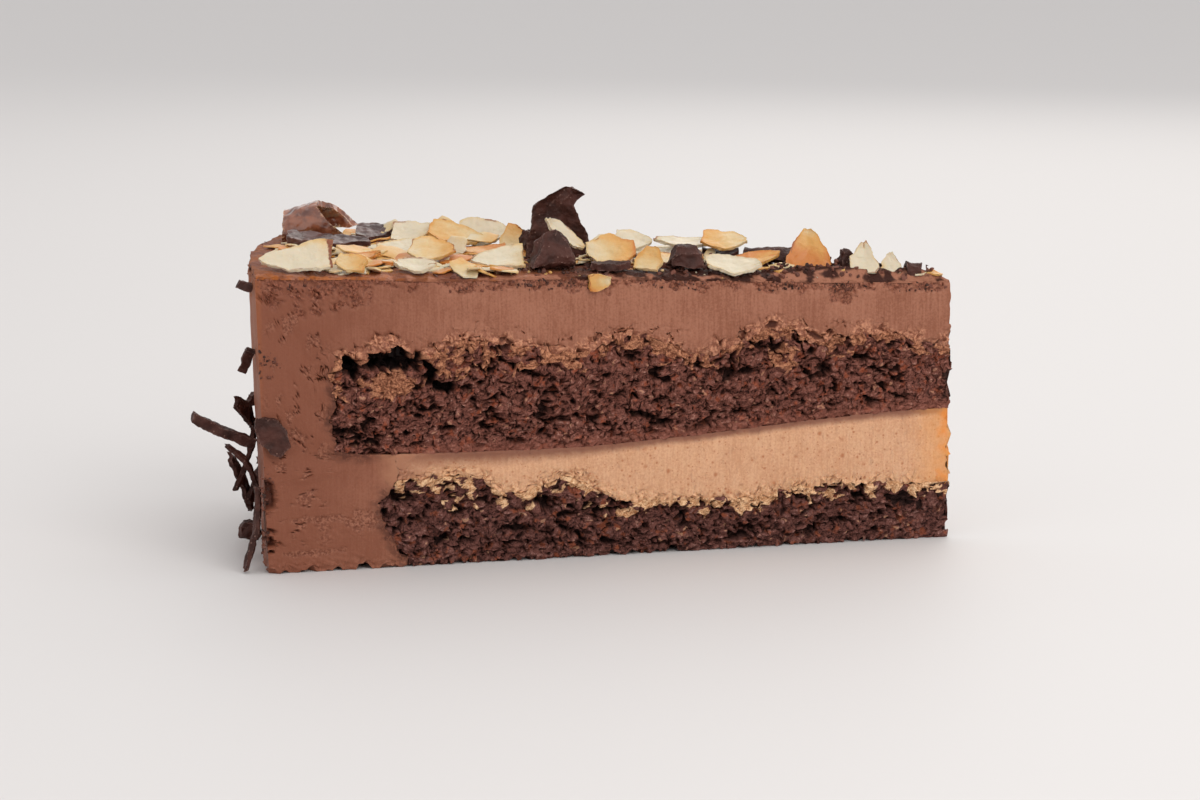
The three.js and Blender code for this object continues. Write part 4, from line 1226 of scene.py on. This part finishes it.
crumbs = {
    "seed": 7, "top": (760, 1.0), "almond": (170, 0.3), "size": (0.35, 2.0), "clusterSize": (0.25, 1.0),
    "almondSize": (0.4, 1.4), "almondToast": (0, 0.8), "radiusShare": (0.004, 0.97), "pull": 0.5,
    "across": 0.49,
    "flat": (0.3, 0.8), "slim": 0.55, "sides": 8, "sideReach": (0.45, 0.9), "steep": 0.05, "furthest": 1.2,
    "fromRim": 0.4, "fromPoint": 2, "hang": 2.2, "hangCurve": 1.7, "overEdge": 0.2, "usualEdge": 50,
    "inset": 1.2, "outside": 20, "sunk": 0.6, "backEdge": (70, 150, 130),
    "clusters": (  # along the front edge: distance from the rim, width and count, as in backEdge
        (8, 16, 40), (38, 18, 24), (54, 18, 150), (78, 12, 80), (99, 8, 50), (110, 7, 110), (125, 12, 60),
    ),
    "rimEdge": 150, "rimHeight": 53.4, "rimSpread": (-2.5, 1.5), "rimInset": 0.3, "rimDepth": (-1.2, 0.5),
    "corner": (1.6, 38.5, 4.2, 6.5, 30), "dents": ((1.2, 14.6, 2.6, 7, 44), (1.0, 6.2, 3.2, 5, 44)),
    "smooth": 24, "grain": (0.35, 3, 0.6), "toneShare": 0.7, "grainShare": 0.6, "paleLevel": (0.25, 0.9),
    "dark": (46, 24, 18), "light": (110, 64, 50),
}
chippings = {  # tries, sizes, distances from the point, and how high they pile
    "spread": (420, (1.0, 3.2), (6, 80), 1.6), "bank": (300, (0.6, 1.7), (4, 36), 1.2), "largestInFront": 1.3,
    "sunk": 0.12, "nested": 0.36, "heaped": 0.8, "clear": 0.55, "sizeCurve": 1.6, "pointCurve": 0.8,
    "across": (-0.95, 1), "inFront": -0.3, "mostInset": 0.9,
}


def scatter(name, places, sizes, draws):  # lumps of uneven form, each with its own turn
    bpy.ops.object.select_all(action="DESELECT")
    bpy.ops.mesh.primitive_ico_sphere_add(subdivisions=2, radius=1)
    ball = bpy.context.object
    form = pointsOf(ball)
    sides = np.array([tuple(face.vertices) for face in ball.data.polygons])
    bpy.data.objects.remove(ball)
    points, faces, tones = [], [], []
    for index, (place, size) in enumerate(zip(places, sizes)):
        normals = draws.normal(size=(crumbs["sides"], 3))  # a lump broken off along flat sides
        towards = form @ (normals / np.linalg.norm(normals, axis=1)[:, None]).T
        reach = between(crumbs["sideReach"], draws.uniform(size=crumbs["sides"]))
        swell = np.minimum((reach / np.maximum(towards, crumbs["steep"])).min(1), crumbs["furthest"])
        turn = np.linalg.qr(draws.normal(size=(3, 3)))[0]
        sizing = [1, draws.uniform(crumbs["slim"], 1), between(crumbs["flat"], draws.uniform())]
        lump = (form * swell[:, None] * sizing) @ turn.T * size / 2
        points.append(lump * mm + np.array(place))
        faces.append(sides + index * len(form))
        tones.append(np.full(len(form), draws.uniform()))
    faces = [tuple(face) for face in np.concatenate(faces).tolist()]
    piece = meshPiece(name, np.concatenate(points), faces)
    markPoints(piece, "tone", np.concatenate(tones))
    return piece


def searchTree(name):
    return BVHTree.FromObject(bpy.data.objects[name], bpy.context.evaluated_depsgraph_get())


def topPlaces(top, draws, count, towardsPoint):
    places = []
    while len(places) < count:
        share = draws.uniform(*crumbs["radiusShare"])
        pull = towardsPoint * draws.uniform(0, crumbs["pull"])
        radius = cake["radius"] * math.sqrt(share) * (1 - pull)
        angle = 2 * halfCut * draws.uniform(-crumbs["across"], crumbs["across"])
        place = top.ray_cast(polar(radius, angle, cake["above"]), down)[0]
        if place:
            places.append(place)
    return places


def cutSpot(fromRim, height, side):  # a place on a cut, side -1 for the front
    return polar(cake["radius"] - fromRim, side * halfCut, height)


def cutPlaces(cuts, draws, middle, width, count, side, height=None, tall=0):
    normal = frontNormal if side < 0 else backNormal
    places = []
    for _ in range(count):
        fromRim = max(crumbs["fromRim"], middle + draws.normal() * width / 4)
        fromRim = min(cake["radius"] - crumbs["fromPoint"], fromRim)
        if height is None:  # hanging from the upper edge
            spot = cutSpot(fromRim, cake["above"], side) - normal * (crumbs["inset"] * mm)
            edge = cuts.ray_cast(spot, down)[0]
            level = (edge.z / mm if edge else crumbs["usualEdge"]) + crumbs["overEdge"]
            level = level - crumbs["hang"] * draws.uniform() ** crumbs["hangCurve"]
        else:
            level = height + draws.normal() * tall / 4
        spot = cutSpot(fromRim, level, side)
        place = cuts.ray_cast(spot + normal * (crumbs["outside"] * mm), -normal)[0]
        places.append(place or spot - normal * (crumbs["sunk"] * mm))
    return places


def crumbFinish():
    finish = Finish("chocolateCrumb")
    tone = finish.mark("tone")
    fine = noise(finish.spot, *crumbs["grain"])
    paler = rise(tone * crumbs["toneShare"] + fine * crumbs["grainShare"], *crumbs["paleLevel"])
    finish.feed(
        Base_Color=tint(paint(*crumbs["dark"]), paler, crumbs["light"]),
        Roughness=0.45 + 0.3 * fine,
        Normal=finish.bump(fine, 0.25),
        Specular_IOR_Level=0.35,
    )
    return finish.material


def finishCrumbs(piece, material):
    piece.data.materials.append(material)
    onlySelect(piece)
    bpy.ops.object.shade_smooth_by_angle(angle=math.radians(crumbs["smooth"]))
    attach(piece, "root")


def dropped(ground, size, places, sizes):  # where a chipping comes to lie, maybe on those before it
    rest = ground.z + chippings["sunk"] * size * mm
    if places:
        aside = np.hypot(*(np.array(places)[:, :2] - ground[:2]).T) / mm
        apart = chippings["nested"] * (np.array(sizes) + size)
        under = aside < apart
        higher = chippings["heaped"] * np.sqrt(apart[under] ** 2 - aside[under] ** 2) * mm
        rest = max([rest, *(np.array(places)[under, 2] + higher)])
    return Vector((ground.x, ground.y, rest))


def rimEdgePlace(draws):
    angle = halfCut * draws.uniform(-1, 1)
    height = crumbs["rimHeight"] + draws.uniform(*crumbs["rimSpread"])
    out = Vector((-math.cos(angle), math.sin(angle), 0))
    reach = cake["radius"] - crumbs["rimInset"] + draws.uniform(*crumbs["rimDepth"])
    return Vector((cake["axisX"], 0, height)) * mm + out * reach * mm


def layChippings(top, draws):
    places, sizes = [], []
    for tries, limits, distances, highest in (chippings["spread"], chippings["bank"]):
        for size in between(limits, draws.uniform(size=tries) ** chippings["sizeCurve"]):
            radius = between(distances, draws.uniform() ** chippings["pointCurve"])
            inset = min(chippings["mostInset"] * halfCut, 0.5 * size / radius)
            angle = draws.uniform(*chippings["across"]) * (halfCut - inset)
            ground = top.ray_cast(polar(radius, angle, cake["above"]), down)[0]
            place = dropped(ground, size, places, sizes)
            inFront = angle < chippings["inFront"] * halfCut and size > chippings["largestInFront"]
            low = place.z - ground.z < highest * mm
            if low and not inFront and toToppings(place) > chippings["clear"] * size:
                places.append(place)
                sizes.append(size)
    return places, sizes


def sizesFor(places, limits, draws):
    return between(limits, draws.uniform(size=len(places)) ** 2)


def makeCrumbs(almondMaterial):
    draws = np.random.default_rng(crumbs["seed"])
    top, cuts = searchTree("amberGlaze"), searchTree("chocolateMousse")
    chocolate = crumbFinish()
    places = topPlaces(top, draws, *crumbs["top"])
    sizes = sizesFor(places, crumbs["size"], draws)
    finishCrumbs(scatter("crumb.top", places, sizes, draws), chocolate)
    places = cutPlaces(cuts, draws, *crumbs["backEdge"], 1)
    for cluster in crumbs["clusters"]:
        places += cutPlaces(cuts, draws, *cluster, -1)
    places += [rimEdgePlace(draws) for _ in range(crumbs["rimEdge"])]
    for fromRim, height, width, tall, count in (crumbs["corner"], *crumbs["dents"]):
        places += cutPlaces(cuts, draws, fromRim, width, count, -1, height, tall)
    sizes = sizesFor(places, crumbs["clusterSize"], draws)
    finishCrumbs(scatter("crumb.edge", places, sizes, draws), chocolate)
    places, sizes = layChippings(top, draws)
    finishCrumbs(scatter("crumb.chippings", places, sizes, draws), chocolate)
    places = topPlaces(top, draws, *crumbs["almond"])
    sizes = sizesFor(places, crumbs["almondSize"], draws)
    pale = scatter("crumb.almond", places, sizes, draws)
    toast = draws.uniform(*crumbs["almondToast"], len(places))
    markPoints(pale, "toast", np.repeat(toast, len(pale.data.vertices) // len(places)))
    markPoints(pale, "edge", np.zeros(len(pale.data.vertices)))
    finishCrumbs(pale, almondMaterial)
    print("crumbs laid")


almondMaterial = almondFinish()
makeHeap(almondMaterial)
makeGlaze()
makeAlmonds(almondMaterial)
makeChocolate()
makeCrumbs(almondMaterial)

# The stage: a pale floor, soft light, and the camera at the photo's angle

view = {
    "azimuth": 0.29, "elevation": 10.39, "distance": 600, "target": (0.16, 0, 26.38), "focal": 94.86,
    "sensor": 36, "nearest": 10,
}


def makeCamera():
    azimuth, elevation = math.radians(view["azimuth"]), math.radians(view["elevation"])
    flat = math.cos(elevation)
    back = Vector((math.sin(azimuth) * flat, -math.cos(azimuth) * flat, math.sin(elevation)))
    data = bpy.data.cameras.new("camera")
    data.lens = view["focal"]
    data.sensor_width = view["sensor"]
    data.clip_start = view["nearest"] * mm
    camera = bpy.data.objects.new("camera", data)
    camera.location = (Vector(view["target"]) + back * view["distance"]) * mm
    camera.rotation_euler = back.to_track_quat("Z", "Y").to_euler()
    bpy.context.scene.collection.objects.link(camera)
    bpy.context.scene.camera = camera


lights = (  # name, place and target in metres, size, power, colour
    ("key", (0.5, -0.75, 0.7), (0, 0, 0.03), 0.7, 5.5, (1.0, 0.97, 0.93)),
    ("fill", (-0.8, -0.7, 0.35), (0, 0, 0.03), 0.9, 0.5, (1.0, 0.98, 0.96)),
    ("top", (0.1, 0.1, 0.9), (0, 0, 0.04), 0.9, 1.6, (1.0, 0.99, 0.97)),
    ("rim", (0.2, 0.75, 0.5), (0, 0, 0.05), 0.6, 1.4, (1.0, 0.96, 0.9)),
)


studio = {
    "light": (1.0, 0.98, 0.97, 1), "strength": 0.85, "floor": (205, 203, 203), "floorRoughness": 0.6,
    "floorSize": 12, "floorDrop": 0.05,  # metres, and millimetres under the slice
}


def makeLights():
    for name, place, target, size, power, colour in lights:
        data = bpy.data.lights.new(name, "AREA")
        data.size = size
        data.energy = power
        data.color = colour
        light = bpy.data.objects.new(name, data)
        light.location = place
        light.rotation_euler = (Vector(place) - Vector(target)).to_track_quat("Z", "Y").to_euler()
        bpy.context.scene.collection.objects.link(light)
    world = bpy.data.worlds.new("studio")
    bpy.context.scene.world = world
    world.use_nodes = True
    backdrop = world.node_tree.nodes["Background"]
    backdrop.inputs["Color"].default_value = studio["light"]
    backdrop.inputs["Strength"].default_value = studio["strength"]
    bpy.context.scene.view_settings.view_transform = "Standard"


def makeFloor():
    bpy.ops.object.select_all(action="DESELECT")
    place = (0, 0, -studio["floorDrop"] * mm)
    bpy.ops.mesh.primitive_plane_add(size=studio["floorSize"], location=place)
    floor = bpy.context.object
    floor.name = "floor"
    finish = Finish("paleFloor")
    finish.feed(Base_Color=paint(*studio["floor"]), Roughness=studio["floorRoughness"])
    floor.data.materials.append(finish.material)


makeCamera()
makeLights()
makeFloor()
print("stage ready")
